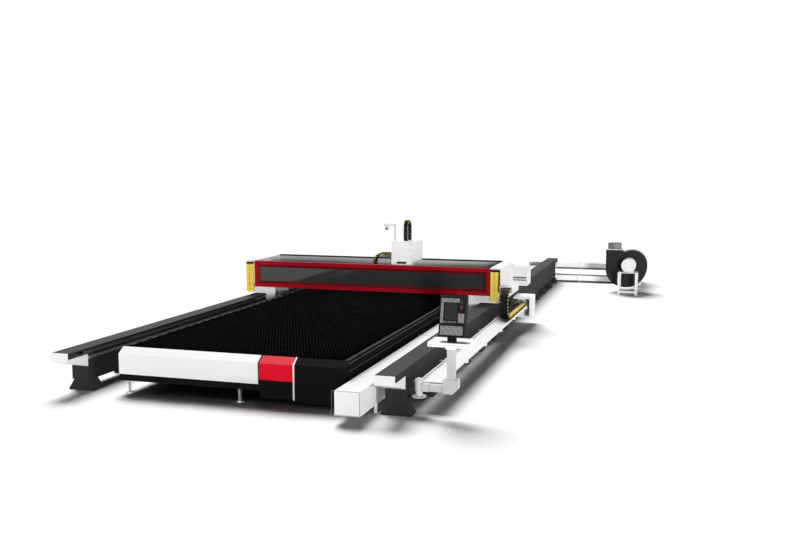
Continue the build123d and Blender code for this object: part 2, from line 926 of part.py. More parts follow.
with BuildPart() as console_bracket:
    span_block(
        (rail_outer, console_y - shelf_half, beam_bottom),
        (rail_outer + bracket_plate, console_y + shelf_half, plate_top),
    )
    span_block(
        (rail_outer, console_y - shelf_half, shelf_top - shelf_sheet),
        (shelf_right, console_y + shelf_half, shelf_top),
    )
    gusset = [
        (rail_outer, shelf_top - shelf_sheet),
        (shelf_right, shelf_top - shelf_sheet),
        (rail_outer, shelf_top - shelf_sheet - gusset_drop),
    ]
    for y in (console_y - shelf_half, console_y + shelf_half - bracket_plate):
        extrude(profile(along(y), gusset), amount=-bracket_plate)
keep(console_bracket, "console_bracket")

# Console column: flange, pillar and the spindle that the arm turns on
flange_disc = 105
flange_rise = 15
pillar_radius = 50
shoulder = 385
spindle_radius = 30
spindle_top = 510

with BuildPart() as console_column:
    with BuildSketch(Plane.XZ.offset(-console_y)):
        with BuildLine():
            Polyline(
                (column_x, shelf_top),
                (column_x + flange_disc, shelf_top),
                (column_x + flange_disc, shelf_top + flange_rise),
                (column_x + pillar_radius, shelf_top + flange_rise),
                (column_x + pillar_radius, shoulder),
                (column_x + spindle_radius, shoulder),
                (column_x + spindle_radius, spindle_top),
                (column_x, spindle_top),
                close=True,
            )
        make_face()
    revolve(axis=Axis((column_x, console_y, 0), (0, 0, 1)))
keep(console_column, "console_column")

# Console arm: sleeve, square bar, chamfered elbow and upright post, welded as one
sleeve_radius = 58
sleeve_top = 545
cap_radius = 36
cap_top = 562
bar_size = 100
elbow_half = 110
elbow_bottom = 370
elbow_top = 575
elbow_chamfer = 80
post_half = 55
post_top = 1020
pivot_radius = 25
pivot_depth = 80

with BuildPart() as console_arm:
    with BuildSketch(Plane.XY.offset(shoulder + running_gap)):
        with Locations((column_x, console_y)):
            Circle(sleeve_radius)
    extrude(amount=sleeve_top - shoulder - running_gap)
    with BuildSketch(Plane.XY.offset(sleeve_top)):
        with Locations((column_x, console_y)):
            Circle(cap_radius)
    extrude(amount=cap_top - sleeve_top)
    span_block(
        (column_x, console_y - bar_size / 2, shoulder + running_gap),
        (post_x, console_y + bar_size / 2, shoulder + bar_size),
    )
    elbow = [
        (post_x - elbow_half, elbow_bottom),
        (post_x + elbow_half - elbow_chamfer, elbow_bottom),
        (post_x + elbow_half, elbow_bottom + elbow_chamfer),
        (post_x + elbow_half, elbow_top),
        (post_x - elbow_half, elbow_top),
    ]
    extrude(profile(along(console_y), elbow), amount=post_half + bracket_plate, both=True)
    with BuildSketch(Plane.XY.offset(elbow_top)):
        with Locations((post_x, console_y)):
            Rectangle(2 * post_half, 2 * post_half)
    extrude(amount=post_top - elbow_top)
    with BuildSketch(Plane.XY.offset(shoulder)):
        with Locations((column_x, console_y)):
            Circle(spindle_radius + shaft_gap)
    extrude(amount=spindle_top + running_gap - shoulder, mode=Mode.SUBTRACT)
    with BuildSketch(Plane.XY.offset(post_top - pivot_depth)):
        with Locations((post_x, console_y)):
            Circle(pivot_radius + shaft_gap)
    extrude(amount=pivot_depth, mode=Mode.SUBTRACT)
keep(console_arm, "console_arm")

# Console tray: pivot, collar and shallow tray with a row of holes along its front edge
tray_width = 611
tray_front_reach = 200
tray_back_reach = 230
tray_left = post_x - tray_width / 2
tray_right = post_x + tray_width / 2
tray_front = console_y - tray_front_reach
tray_back = console_y + tray_back_reach
tray_rim = 14
tray_recess = 14
collar_half = 72
tray_holes = 9
tray_hole_radius = 8
tray_hole_depth = 10
tray_corner = 18
tray_x = (tray_left + tray_right) / 2
tray_y = (tray_front + tray_back) / 2

with BuildPart() as console_tray:
    with BuildSketch(Plane.XY.offset(post_top - pivot_depth + running_gap)):
        with Locations((post_x, console_y)):
            Circle(pivot_radius)
    extrude(amount=pivot_depth)
    with BuildSketch(Plane.XY.offset(post_top + running_gap)):
        with Locations((post_x, console_y)):
            Rectangle(2 * collar_half, 2 * collar_half)
    extrude(amount=tray_bottom - post_top - running_gap)
    with BuildSketch(Plane.XY.offset(tray_bottom)):
        with Locations((tray_x, tray_y)):
            RectangleRounded(tray_right - tray_left, tray_back - tray_front, tray_corner)
    extrude(amount=tray_height)
    with BuildSketch(Plane.XY.offset(tray_bottom + tray_height - tray_recess)):
        with Locations((tray_x, tray_y)):
            Rectangle(tray_right - tray_left - 2 * tray_rim, tray_back - tray_front - 2 * tray_rim)
    extrude(amount=tray_recess, mode=Mode.SUBTRACT)
    hole_pitch = (tray_right - tray_left - 4 * tray_corner) / (tray_holes - 1)
    with BuildSketch(along(tray_front + tray_hole_depth)):
        with Locations((tray_x, tray_bottom + tray_height / 2)):
            with GridLocations(hole_pitch, hole_pitch, tray_holes, 1):
                RegularPolygon(tray_hole_radius, stud_sides)
    extrude(amount=tray_hole_depth, mode=Mode.SUBTRACT)
keep(console_tray, "console_tray")

# Monitor housing: leans back on a neck that stands in the tray
monitor_width = 380
monitor_height = 580
monitor_depth = 140
monitor_lean = 13
monitor_foot_reach = 40
monitor_foot_y = console_y - monitor_foot_reach
monitor_foot_z = 1200
pane_depth = 8
screen_left = -115
screen_right = 68
screen_bottom = 232
screen_top = 470
face_margin = 14
button_x = 128
estop_height = 415
start_height = 490
button_hole = 9
button_hole_depth = 30
neck_half = 60
neck_front = 25
neck_back = 105
monitor_chamfer = 10
monitor_face = Plane(
    origin=(tray_x, monitor_foot_y, monitor_foot_z),
    x_dir=(1, 0, 0),
    z_dir=(0, -cos(radians(monitor_lean)), sin(radians(monitor_lean))),
)


def pane(left, right, bottom, top):
    """A rectangle on the monitor's face, between its edges."""
    with BuildSketch(monitor_face) as outline:
        with Locations(((left + right) / 2, (bottom + top) / 2)):
            Rectangle(right - left, top - bottom)
    return outline.sketch


def button_disc(height, radius, lift):
    """A disc beside the screen, lift above the monitor's face."""
    with BuildSketch(monitor_face.offset(lift)) as outline:
        with Locations((button_x, height)):
            Circle(radius)
    return outline.sketch


screen_pane = (screen_left, screen_right, screen_bottom, screen_top)
face_half = monitor_width / 2 - face_margin
face_pane = (-face_half, face_half, face_margin, monitor_height - face_margin)

with BuildPart() as monitor_housing:
    extrude(pane(-monitor_width / 2, monitor_width / 2, 0, monitor_height), amount=-monitor_depth)
    chamfer(monitor_housing.faces().sort_by(Axis.Y)[0].edges(), monitor_chamfer)
    extrude(pane(*face_pane), amount=-pane_depth, mode=Mode.SUBTRACT)
    for height in (estop_height, start_height):
        disc = button_disc(height, button_hole + running_gap, 0)
        extrude(disc, amount=-pane_depth - button_hole_depth, mode=Mode.SUBTRACT)
    span_block(
        (tray_x - neck_half, monitor_foot_y + neck_front, tray_bottom + tray_height - tray_recess),
        (tray_x + neck_half, monitor_foot_y + neck_back, monitor_foot_z + neck_front),
    )
keep(monitor_housing, "monitor_housing")

with BuildPart() as monitor_screen:
    extrude(pane(*screen_pane), amount=-pane_depth)
keep(monitor_screen, "monitor_screen")

with BuildPart() as monitor_panels:
    extrude(pane(*face_pane), amount=-pane_depth)
    extrude(pane(*screen_pane), amount=-pane_depth, mode=Mode.SUBTRACT)
    for height in (estop_height, start_height):
        disc = button_disc(height, button_hole + shaft_gap, 0)
        extrude(disc, amount=-pane_depth, mode=Mode.SUBTRACT)
keep(monitor_panels, "monitor_panels")

# Buttons: a stem through the face panel with a cap that stands clear of it
button_travel = 4
button_rest_gap = 2
button_lift = button_travel + button_rest_gap
estop_radius = 22
estop_cap = 16
start_radius = 14
start_cap = 8
stem_length = 24

with BuildPart() as estop_button:
    extrude(button_disc(estop_height, button_hole, button_lift), amount=-stem_length - button_lift)
    extrude(button_disc(estop_height, estop_radius, button_lift), amount=estop_cap)
keep(estop_button, "estop_button")

with BuildPart() as start_button:
    extrude(button_disc(start_height, button_hole, button_lift), amount=-stem_length - button_lift)
    extrude(button_disc(start_height, start_radius, button_lift), amount=start_cap)
keep(start_button, "start_button")

# Gantry trucks: a long saddle over each rail, with the drive plate and front guard on the inner side
truck_length = 2300
truck_tail = 200
truck_tail_drop = 90
drive_plate = 20
drive_plate_bottom = 500
drive_plate_length = 1200
guard_reach = 220
guard_inner = truck_inner - guard_reach
guard_sheet = 15
guard_top = 870
truck_front = gantry_front + shield_depth
truck_back = gantry_front + truck_length

with BuildPart() as gantry_trucks:
    saddle = [
        (truck_front, truck_bottom),
        (truck_back, truck_bottom),
        (truck_back, truck_top - truck_tail_drop),
        (truck_back - truck_tail, truck_top),
        (truck_front, truck_top),
    ]
    extrude(profile(across(truck_inner), saddle), amount=truck_outer - truck_inner)
    span_block(
        (truck_inner - drive_plate, truck_front, drive_plate_bottom),
        (truck_inner, truck_front + drive_plate_length, truck_top),
    )
    span_block(
        (guard_inner, truck_front, drive_plate_bottom),
        (truck_inner, truck_front + guard_sheet, guard_top),
    )
    mirror(about=Plane.YZ)
keep(gantry_trucks, "gantry_trucks")

# Runner blocks on the linear guides, with arms that reach in under the rail covers
block_length = 180
block_wall = 24
block_lift = 6
block_crown = 14
block_top = guide_height + block_crown
arm_low = 12
arm_high = 60
block_spread = 900
block_inset = 120
block_start = truck_front + block_inset

with BuildPart() as runner_blocks:
    guide_left = rail_inner + guide_inset - running_gap
    guide_right = guide_left + guide_width + 2 * running_gap
    block = [
        (truck_inner, beam_top + arm_low),
        (guide_left - block_wall, beam_top + arm_low),
        (guide_left - block_wall, beam_top + block_lift),
        (guide_left, beam_top + block_lift),
        (guide_left, beam_top + guide_height + running_gap),
        (guide_right, beam_top + guide_height + running_gap),
        (guide_right, beam_top + block_lift),
        (guide_right + block_wall, beam_top + block_lift),
        (guide_right + block_wall, beam_top + block_top),
        (guide_left - block_wall, beam_top + block_top),
        (guide_left - block_wall, beam_top + arm_high),
        (truck_inner, beam_top + arm_high),
    ]
    for y in (block_start, block_start + block_spread):
        extrude(profile(along(y), block), amount=-block_length)
    mirror(about=Plane.YZ)
keep(runner_blocks, "runner_blocks")

# Gear motors on the drive plates
gearbox_size = 130
gearbox_length = 90
motor_size = 108
motor_reach = 170
drive_height = 600
drive_inset = 250
drive_spread = 600
drive_corner = 14
first_drive = truck_front + drive_inset

with BuildPart() as drive_motors:
    for y in (first_drive, first_drive + drive_spread):
        for size, start, reach in (
            (gearbox_size, truck_inner - drive_plate, gearbox_length),
            (motor_size, truck_inner - drive_plate - gearbox_length, motor_reach),
        ):
            with BuildSketch(across(start)) as section:
                with Locations((y, drive_height)):
                    Rectangle(size, size)
                chamfer(section.vertices(), drive_corner)
            extrude(amount=-reach)
    mirror(about=Plane.YZ)
keep(drive_motors, "drive_motors")

# Gantry beam: a box girder with a shelf for the head's energy chain along its back
beam_lap = 121
beam_half_length = rail_inner + beam_lap
shelf_height = 1150
shelf_thick = 8

with BuildPart() as gantry_beam:
    girder = [
        (beam_face, truck_top),
        (beam_back, truck_top),
        (beam_back, shelf_height),
        (rear_shield_face, shelf_height),
        (rear_shield_face, shelf_height + shelf_thick),
        (beam_back, shelf_height + shelf_thick),
        (beam_back, gantry_beam_top),
        (beam_face, gantry_beam_top),
    ]
    extrude(profile(Plane.YZ, girder), amount=beam_half_length, both=True)
keep(gantry_beam, "gantry_beam")

# Red shield frame with a bevelled opening, and its dark window
shield_border = 110
shield_bevel = 28
window_sheet = 8
window_setback = 34

with BuildPart() as shield_frame:
    with BuildSketch(along(gantry_front + shield_depth)):
        with Locations((0, (shield_bottom + shield_top) / 2)):
            Rectangle(2 * shield_half_width, shield_top - shield_bottom)
            Rectangle(
                2 * (shield_half_width - shield_border),
                shield_top - shield_bottom - 2 * shield_border,
                mode=Mode.SUBTRACT,
            )
    extrude(amount=shield_depth)
    chamfer(shield_frame.faces().sort_by(Axis.Y)[0].inner_wires()[0].edges(), shield_bevel)
keep(shield_frame, "shield_frame")

with BuildPart() as shield_window:
    with BuildSketch(along(gantry_front + window_setback + window_sheet)):
        with Locations((0, (shield_bottom + shield_top) / 2)):
            Rectangle(2 * (shield_half_width - shield_border), shield_top - shield_bottom - 2 * shield_border)
    extrude(amount=window_sheet)
keep(shield_window, "shield_window")

# Rear shield: a sheet with a flange turned back along its top
rear_sheet = 15
rear_flange = 45
rear_bottom = truck_top
rear_top = 1475

with BuildPart() as rear_shield:
    sheet = [
        (rear_shield_face, rear_bottom),
        (rear_shield_face, rear_top),
        (rear_shield_face + rear_flange, rear_top),
        (rear_shield_face + rear_flange, rear_top - rear_sheet),
        (rear_shield_face + rear_sheet, rear_top - rear_sheet),
        (rear_shield_face + rear_sheet, rear_bottom),
    ]
    extrude(profile(Plane.YZ, sheet), amount=shield_half_width, both=True)
keep(rear_shield, "rear_shield")

# End covers: thin hoods on the trucks, open below and towards the beam; the right one clamps the long chain
end_sheet = 10
end_gap = 4
end_setback = 10
end_reach = 1460
end_inner = shield_half_width + end_gap
end_front = gantry_front + end_setback
end_back = gantry_front + end_reach
end_top = 1470

with BuildPart() as end_covers:
    span_block((end_inner, end_front, truck_top), (truck_outer, end_back, end_top))
    with BuildSketch(Plane.XY.offset(truck_top - overrun)):
        with Locations(((end_inner + truck_outer - end_sheet - overrun) / 2, (end_front + end_back) / 2)):
            Rectangle(truck_outer - end_sheet - end_inner + overrun, end_back - end_front - 2 * end_sheet)
    extrude(amount=end_top - end_sheet - truck_top + overrun, mode=Mode.SUBTRACT)
    mirror(about=Plane.YZ)
    clamp_low, clamp_high = loop_high - chain_height / 2, loop_high + chain_height / 2 + clamp_margin
    clamp = [
        (clamp_front, clamp_low),
        (clamp_front, clamp_high),
        (clamp_front + clamp_length, clamp_high),
        (clamp_front + clamp_length, truck_top),
        (clamp_front + clamp_slope, truck_top),
    ]
    clamp_left, clamp_right = truck_outer - end_sheet / 2, chain_x + chain_width + clamp_margin
    extrude(profile(across(clamp_left), clamp), amount=clamp_right - clamp_left)
keep(end_covers, "end_covers")

# Light curtain posts with a groove down the front, and their end caps
curtain_inset = 18
curtain_width = 152
post_left = end_inner + curtain_inset
post_right = post_left + curtain_width
post_depth = 70
curtain_bottom = 765
curtain_top = 1435
curtain_cap = 45
groove_width = 36
groove_depth = 14


def curtain_post_outline(height, grooved):
    """Plan view of a light curtain post, in front of the end cover."""
    with BuildSketch(Plane.XY.offset(height)) as outline:
        with Locations(((post_left + post_right) / 2, end_front - post_depth / 2)):
            Rectangle(post_right - post_left, post_depth)
        if grooved:
            with Locations(((post_left + post_right) / 2, end_front - post_depth + groove_depth / 2)):
                Rectangle(groove_width, groove_depth, mode=Mode.SUBTRACT)
    return outline.sketch


with BuildPart() as light_curtain_posts:
    body_height = curtain_top - curtain_bottom - 2 * curtain_cap
    extrude(curtain_post_outline(curtain_bottom + curtain_cap, True), amount=body_height)
    mirror(about=Plane.YZ)
keep(light_curtain_posts, "light_curtain_posts")

with BuildPart() as light_curtain_caps:
    extrude(curtain_post_outline(curtain_bottom, False), amount=curtain_cap)
    extrude(curtain_post_outline(curtain_top - curtain_cap, False), amount=curtain_cap)
    mirror(about=Plane.YZ)
keep(light_curtain_caps, "light_curtain_caps")

# Drive cabinet on the right truck, with a vent slot in its front
cabinet_setback = 1300
cabinet_inset = 40
cabinet_overhang = 355
cabinet_left = truck_inner + cabinet_inset
cabinet_right = truck_outer + cabinet_overhang
cabinet_face = gantry_front + cabinet_setback
cabinet_depth = 500
cabinet_top = 1370
vent_width = 300
vent_height = 84
vent_depth = 25
vent_inset = 168
vent_rise = 155

with BuildPart() as drive_cabinet:
    cabinet_back = cabinet_face + cabinet_depth
    span_block((truck_outer, cabinet_face, truck_top), (cabinet_right, cabinet_back, cabinet_top))
    span_block((cabinet_left, end_back, truck_top), (truck_outer, cabinet_back, cabinet_top))
    with BuildSketch(along(cabinet_face + vent_depth)):
        with Locations((cabinet_right - vent_inset, truck_top + vent_rise)):
            Rectangle(vent_width, vent_height)
    extrude(amount=vent_depth + overrun, mode=Mode.SUBTRACT)
keep(drive_cabinet, "drive_cabinet")

# Guides for the head along the beam's front
x_guide_depth = 30
x_guide_height = 30
x_guide_low = 1000
x_guide_high = 1270
x_guide_end_gap = 120
x_guide_half_length = beam_half_length - x_guide_end_gap

with BuildPart() as x_guides:
    for bottom in (x_guide_low, x_guide_high):
        span_block(
            (-x_guide_half_length, beam_face - x_guide_depth, bottom),
            (x_guide_half_length, beam_face, bottom + x_guide_height),
        )
keep(x_guides, "x_guides")

# Head saddle: plate down the beam's front, top plate over the beam, runner blocks and Z guides
saddle_bottom = 985
saddle_top_plate = 15
saddle_reach = 1130
saddle_back = gantry_front + saddle_reach
slider_wall = 22
slider_length = 120
slider_inset = 30
z_guide_width = 20
z_guide_depth = 20
z_guide_spread = 120
z_guide_top = 1450
head_x = head_left + head_width / 2

with BuildPart() as head_saddle:
    hook = [
        (saddle_face, saddle_bottom),
        (saddle_face + saddle_plate, saddle_bottom),
        (saddle_face + saddle_plate, saddle_top - saddle_top_plate),
        (saddle_back, saddle_top - saddle_top_plate),
        (saddle_back, saddle_top),
        (saddle_face, saddle_top),
    ]
    extrude(profile(across(head_left), hook), amount=head_width)
    for bottom in (x_guide_low, x_guide_high):
        low, high = bottom - running_gap, bottom + x_guide_height + running_gap
        back = beam_face - slider_wall / 2
        face = beam_face - x_guide_depth - running_gap
        slider = [
            (saddle_face + saddle_plate, low - slider_wall),
            (back, low - slider_wall),
            (back, low),
            (face, low),
            (face, high),
            (back, high),
            (back, high + slider_wall),
            (saddle_face + saddle_plate, high + slider_wall),
        ]
        for x in (head_left + slider_inset, head_right - slider_inset - slider_length):
            extrude(profile(across(x), slider), amount=slider_length)
    for side in (-1, 1):
        x = head_x + side * z_guide_spread / 2
        span_block(
            (x - z_guide_width / 2, saddle_face - z_guide_depth, saddle_bottom),
            (x + z_guide_width / 2, saddle_face, z_guide_top),
        )
keep(head_saddle, "head_saddle")

# Head cover: a white hood open below, with a skirt down the front
cover_setback = 300
cover_reach = 1200
cover_front = gantry_front + cover_setback
cover_back = gantry_front + cover_reach
cover_wall = 6
cover_round = 30
skirt_bottom = 1300

with BuildPart() as head_cover:
    span_block((head_left, cover_front, saddle_top), (head_right, cover_back, cover_top))
    fillet(head_cover.edges().group_by(Axis.Z)[-1], cover_round)
    span_block(
        (head_left, cover_front, skirt_bottom),
        (head_right, cover_front + cover_wall, saddle_top + cover_round),
    )
    with BuildSketch(Plane.XY.offset(saddle_top)):
        with Locations((head_x, (cover_front + cover_back) / 2)):
            Rectangle(head_width - 2 * cover_wall, cover_back - cover_front - 2 * cover_wall)
    extrude(amount=cover_top - saddle_top - cover_round, mode=Mode.SUBTRACT)
keep(head_cover, "head_cover")

# Energy chain of the head: a loop beside the cover and the run along the beam's shelf
x_chain_height = 56
x_loop_radius = 212
x_loop_links = 7
x_upper_links = 4
x_run_links = 22
x_bend_reach = 410
x_run_end_gap = 420
x_chain_setback = 945
x_bend = head_left - x_bend_reach
x_run_end = beam_half_length - x_run_end_gap
x_chain_front = gantry_front + x_chain_setback
x_run_mid = shelf_height + shelf_thick + running_gap + x_chain_height / 2
x_loop_high = x_run_mid + 2 * x_loop_radius

with BuildPart() as x_chain_run:
    stations = straight_stations((x_bend, x_run_mid), (1, 0), x_run_end - x_bend, x_run_links)
    stations.append(((x_run_end, x_run_mid), (1, 0)))
    outline = chain_outline(stations, x_chain_height, chain_notch)
    extrude(profile(along(x_chain_front), outline), amount=-chain_width)
keep(x_chain_run, "x_chain_run")

with BuildPart() as x_chain_loop:
    stations = straight_stations((head_left, x_loop_high), (-1, 0), head_left - x_bend, x_upper_links)
    stations += bend_stations((x_bend, x_run_mid + x_loop_radius), x_loop_radius, 90, 180, x_loop_links)
    stations.append(((x_bend, x_run_mid), (1, 0)))
    outline = chain_outline(stations, x_chain_height, chain_notch)
    extrude(profile(along(x_chain_front), outline), amount=-chain_width)
keep(x_chain_loop, "x_chain_loop")

# Upright energy chain on the head cover
z_chain_inset = 236
z_chain_left = head_left + z_chain_inset
z_chain_width = 90
z_chain_height = 50
z_loop_radius = 150
z_loop_top = 2410
z_leg_links = 6
z_loop_links = 10
z_leg_setback = 450
z_front_leg = gantry_front + z_leg_setback
z_bend_height = z_loop_top - z_loop_radius - z_chain_height / 2

with BuildPart() as z_chain:
    leg = z_bend_height - cover_top
    stations = straight_stations((z_front_leg, cover_top), (0, 1), leg, z_leg_links)
    bend_middle = (z_front_leg + z_loop_radius, z_bend_height)
    stations += bend_stations(bend_middle, z_loop_radius, 180, -180, z_loop_links)
    back_leg = (z_front_leg + 2 * z_loop_radius, z_bend_height)
    stations += straight_stations(back_leg, (0, -1), leg, z_leg_links)
    stations.append(((back_leg[0], cover_top), (0, -1)))
    outline = chain_outline(stations, z_chain_height, chain_notch / 2)
    extrude(profile(across(z_chain_left), outline), amount=z_chain_width)
keep(z_chain, "z_chain")

# Camera on a bracket that stands on the head cover and reaches to the left
stalk_inset = 8
bracket_reach = 236
camera_inset = 104
stalk_setback = 440
stalk_left = head_left + stalk_inset
bracket_left = stalk_left - bracket_reach
camera_x = bracket_left + camera_inset
stalk_width = 60
stalk_top = 2330
stalk_sheet = 8
arm_height = 60
stalk_y = gantry_front + stalk_setback
camera_radius = 42
camera_length = 90
foot_tab = 60

with BuildPart() as camera_bracket:
    stalk = [
        (stalk_left, cover_top),
        (stalk_left + stalk_width, cover_top),
        (stalk_left + stalk_width, stalk_top),
        (bracket_left, stalk_top),
        (bracket_left, stalk_top - arm_height),
        (stalk_left, stalk_top - arm_height),
    ]
    extrude(profile(along(stalk_y), stalk), amount=-stalk_sheet)
    span_block(
        (stalk_left, stalk_y, cover_top),
        (stalk_left + stalk_width, stalk_y + foot_tab, cover_top + stalk_sheet),
    )
    with BuildSketch(along(stalk_y + stalk_sheet)):
        with Locations((camera_x, stalk_top - arm_height - camera_radius)):
            Circle(camera_radius)
            with Locations((0, camera_radius)):
                Rectangle(camera_radius, camera_radius)
    extrude(amount=camera_length)
keep(camera_bracket, "camera_bracket")

# Cutting head: a slide plate on the Z guides with the turned optics barrel in front
slide_half = 90
slide_sheet = 28
slide_bottom = 1000
slide_top = 1400
barrel_setback = 380
barrel_y = gantry_front + barrel_setback
barrel_radius = 55
rim_radius = 64
rim_height = 20
barrel_bottom = 1000
barrel_top = 1330
rim_bottom = 1150
cone_bottom = 880
cone_radius = 24
holder_radius = 30
holder_bottom = 858
lens_radius = 40
lens_top = 1400
fibre_radius = 18
fibre_top = 1440
slide_back = saddle_face - z_guide_depth - running_gap

with BuildPart() as cutting_head:
    span_block(
        (head_x - slide_half, slide_back - slide_sheet, slide_bottom),
        (head_x + slide_half, slide_back, slide_top),
    )
    with BuildSketch(along(barrel_y)):
        with BuildLine():
            Polyline(
                (head_x, holder_bottom),
                (head_x + holder_radius, holder_bottom),
                (head_x + holder_radius, cone_bottom),
                (head_x + cone_radius, cone_bottom),
                (head_x + barrel_radius, barrel_bottom),
                (head_x + barrel_radius, rim_bottom),
                (head_x + rim_radius, rim_bottom),
                (head_x + rim_radius, rim_bottom + rim_height),
                (head_x + barrel_radius, rim_bottom + rim_height),
                (head_x + barrel_radius, barrel_top),
                (head_x + lens_radius, barrel_top),
                (head_x + lens_radius, lens_top),
                (head_x + fibre_radius, lens_top),
                (head_x + fibre_radius, fibre_top),
                (head_x, fibre_top),
                close=True,
            )
        make_face()
    revolve(axis=Axis((head_x, barrel_y, 0), (0, 0, 1)))
keep(cutting_head, "cutting_head")

# Nozzle at the tip of the cutting head
nozzle_tip = 805
nozzle_tip_radius = 7
nozzle_radius = 22
nozzle_land = 12

with BuildPart() as nozzle:
    with BuildSketch(along(barrel_y)):
        with BuildLine():
            Polyline(
                (head_x, nozzle_tip),
                (head_x + nozzle_tip_radius, nozzle_tip),
                (head_x + nozzle_radius, holder_bottom - nozzle_land),
                (head_x + nozzle_radius, holder_bottom),
                (head_x, holder_bottom),
                close=True,
            )
        make_face()
    revolve(axis=Axis((head_x, barrel_y, 0), (0, 0, 1)))
keep(nozzle, "nozzle")
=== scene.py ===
"""Dresses the packed fiber laser cutting machine: finishes, fine pieces, light and camera.

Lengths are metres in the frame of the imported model: +Z up, +Y along the rails away from the
operator, +X to the operator's right.
"""

import json
import logging
import math
from collections.abc import Iterable, Sequence
from dataclasses import dataclass
from enum import Enum

import bpy
from mathutils import Matrix, Vector


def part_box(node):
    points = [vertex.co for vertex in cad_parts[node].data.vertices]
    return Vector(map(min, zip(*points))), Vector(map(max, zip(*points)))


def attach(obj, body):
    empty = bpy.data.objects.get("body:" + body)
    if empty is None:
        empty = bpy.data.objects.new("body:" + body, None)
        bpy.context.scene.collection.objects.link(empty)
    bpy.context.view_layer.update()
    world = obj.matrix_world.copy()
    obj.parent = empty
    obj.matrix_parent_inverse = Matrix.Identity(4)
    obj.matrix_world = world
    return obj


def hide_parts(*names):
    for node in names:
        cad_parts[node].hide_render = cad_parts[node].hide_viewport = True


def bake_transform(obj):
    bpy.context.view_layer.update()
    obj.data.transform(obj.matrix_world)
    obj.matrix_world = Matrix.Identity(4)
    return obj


Span = tuple[float, float]
Corner = tuple[float, float, float]
Edges = tuple[float, float, float, float]
Slab = tuple[Corner, Corner]
Piece = bpy.types.Object
LOG = logging.getLogger("laser_cutter")
MM = 0.001
SIDES = (-1, 1)
FINE_EDGE = 0.001
SHEET_EDGE = 0.0015
PLATE_EDGE = 0.002
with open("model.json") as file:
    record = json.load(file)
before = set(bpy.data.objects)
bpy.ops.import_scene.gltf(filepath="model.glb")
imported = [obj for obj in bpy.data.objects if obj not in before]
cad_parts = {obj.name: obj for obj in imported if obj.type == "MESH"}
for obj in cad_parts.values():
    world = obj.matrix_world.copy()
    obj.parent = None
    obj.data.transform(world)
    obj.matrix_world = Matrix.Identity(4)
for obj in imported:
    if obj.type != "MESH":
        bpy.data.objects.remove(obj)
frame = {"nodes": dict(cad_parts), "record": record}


class Grain(Enum):
    """How a finish varies over its surface."""

    PAINT = "paint"
    BRUSHED = "brushed"
    SCORCHED = "scorched"
    SMOOTH = "smooth"


@dataclass(frozen=True)
class Finish:
    """One material of the machine.

    The colour is linear RGB. Mottle is the share by which the colour drifts, peel the depth of
    the coat's texture in metres, bump how strongly it shows, and scale the number of texture
    grains per metre. The shade sets apart finishes that share a slot's name.
    """

    name: str
    colour: tuple[float, float, float]
    roughness: float = 0.5
    metallic: float = 0.0
    mottle: float = 0.06
    peel: float = 0.0003
    bump: float = 0.6
    scale: float = 220.0
    grain: Grain = Grain.PAINT
    specular: float = 0.5
    shade: str = ""

    def material(self) -> bpy.types.Material:
        """Return this finish's material, made on first use."""
        title = "_".join(part for part in ("finish", self.name, self.shade) if part)
        found = bpy.data.materials.get(title)
        if found:
            return found
        made = bpy.data.materials.new(title)
        made.use_nodes = True
        nodes, links = made.node_tree.nodes, made.node_tree.links
        shader = nodes["Principled BSDF"]
        shader.inputs["Metallic"].default_value = self.metallic
        shader.inputs["Specular IOR Level"].default_value = self.specular
        texture = nodes.new("ShaderNodeGroup")
        texture.node_tree = SurfaceGroups.tree(self.grain)
        texture.inputs["Colour"].default_value = (*self.colour, 1.0)
        texture.inputs["Roughness"].default_value = self.roughness
        texture.inputs["Mottle"].default_value = self.mottle
        texture.inputs["Scale"].default_value = self.scale
        bump = nodes.new("ShaderNodeBump")
        bump.inputs["Distance"].default_value = self.peel
        bump.inputs["Strength"].default_value = self.bump
        links.new(texture.outputs["Colour"], shader.inputs["Base Color"])
        links.new(texture.outputs["Roughness"], shader.inputs["Roughness"])
        links.new(texture.outputs["Height"], bump.inputs["Height"])
        links.new(bump.outputs["Normal"], shader.inputs["Normal"])
        return made


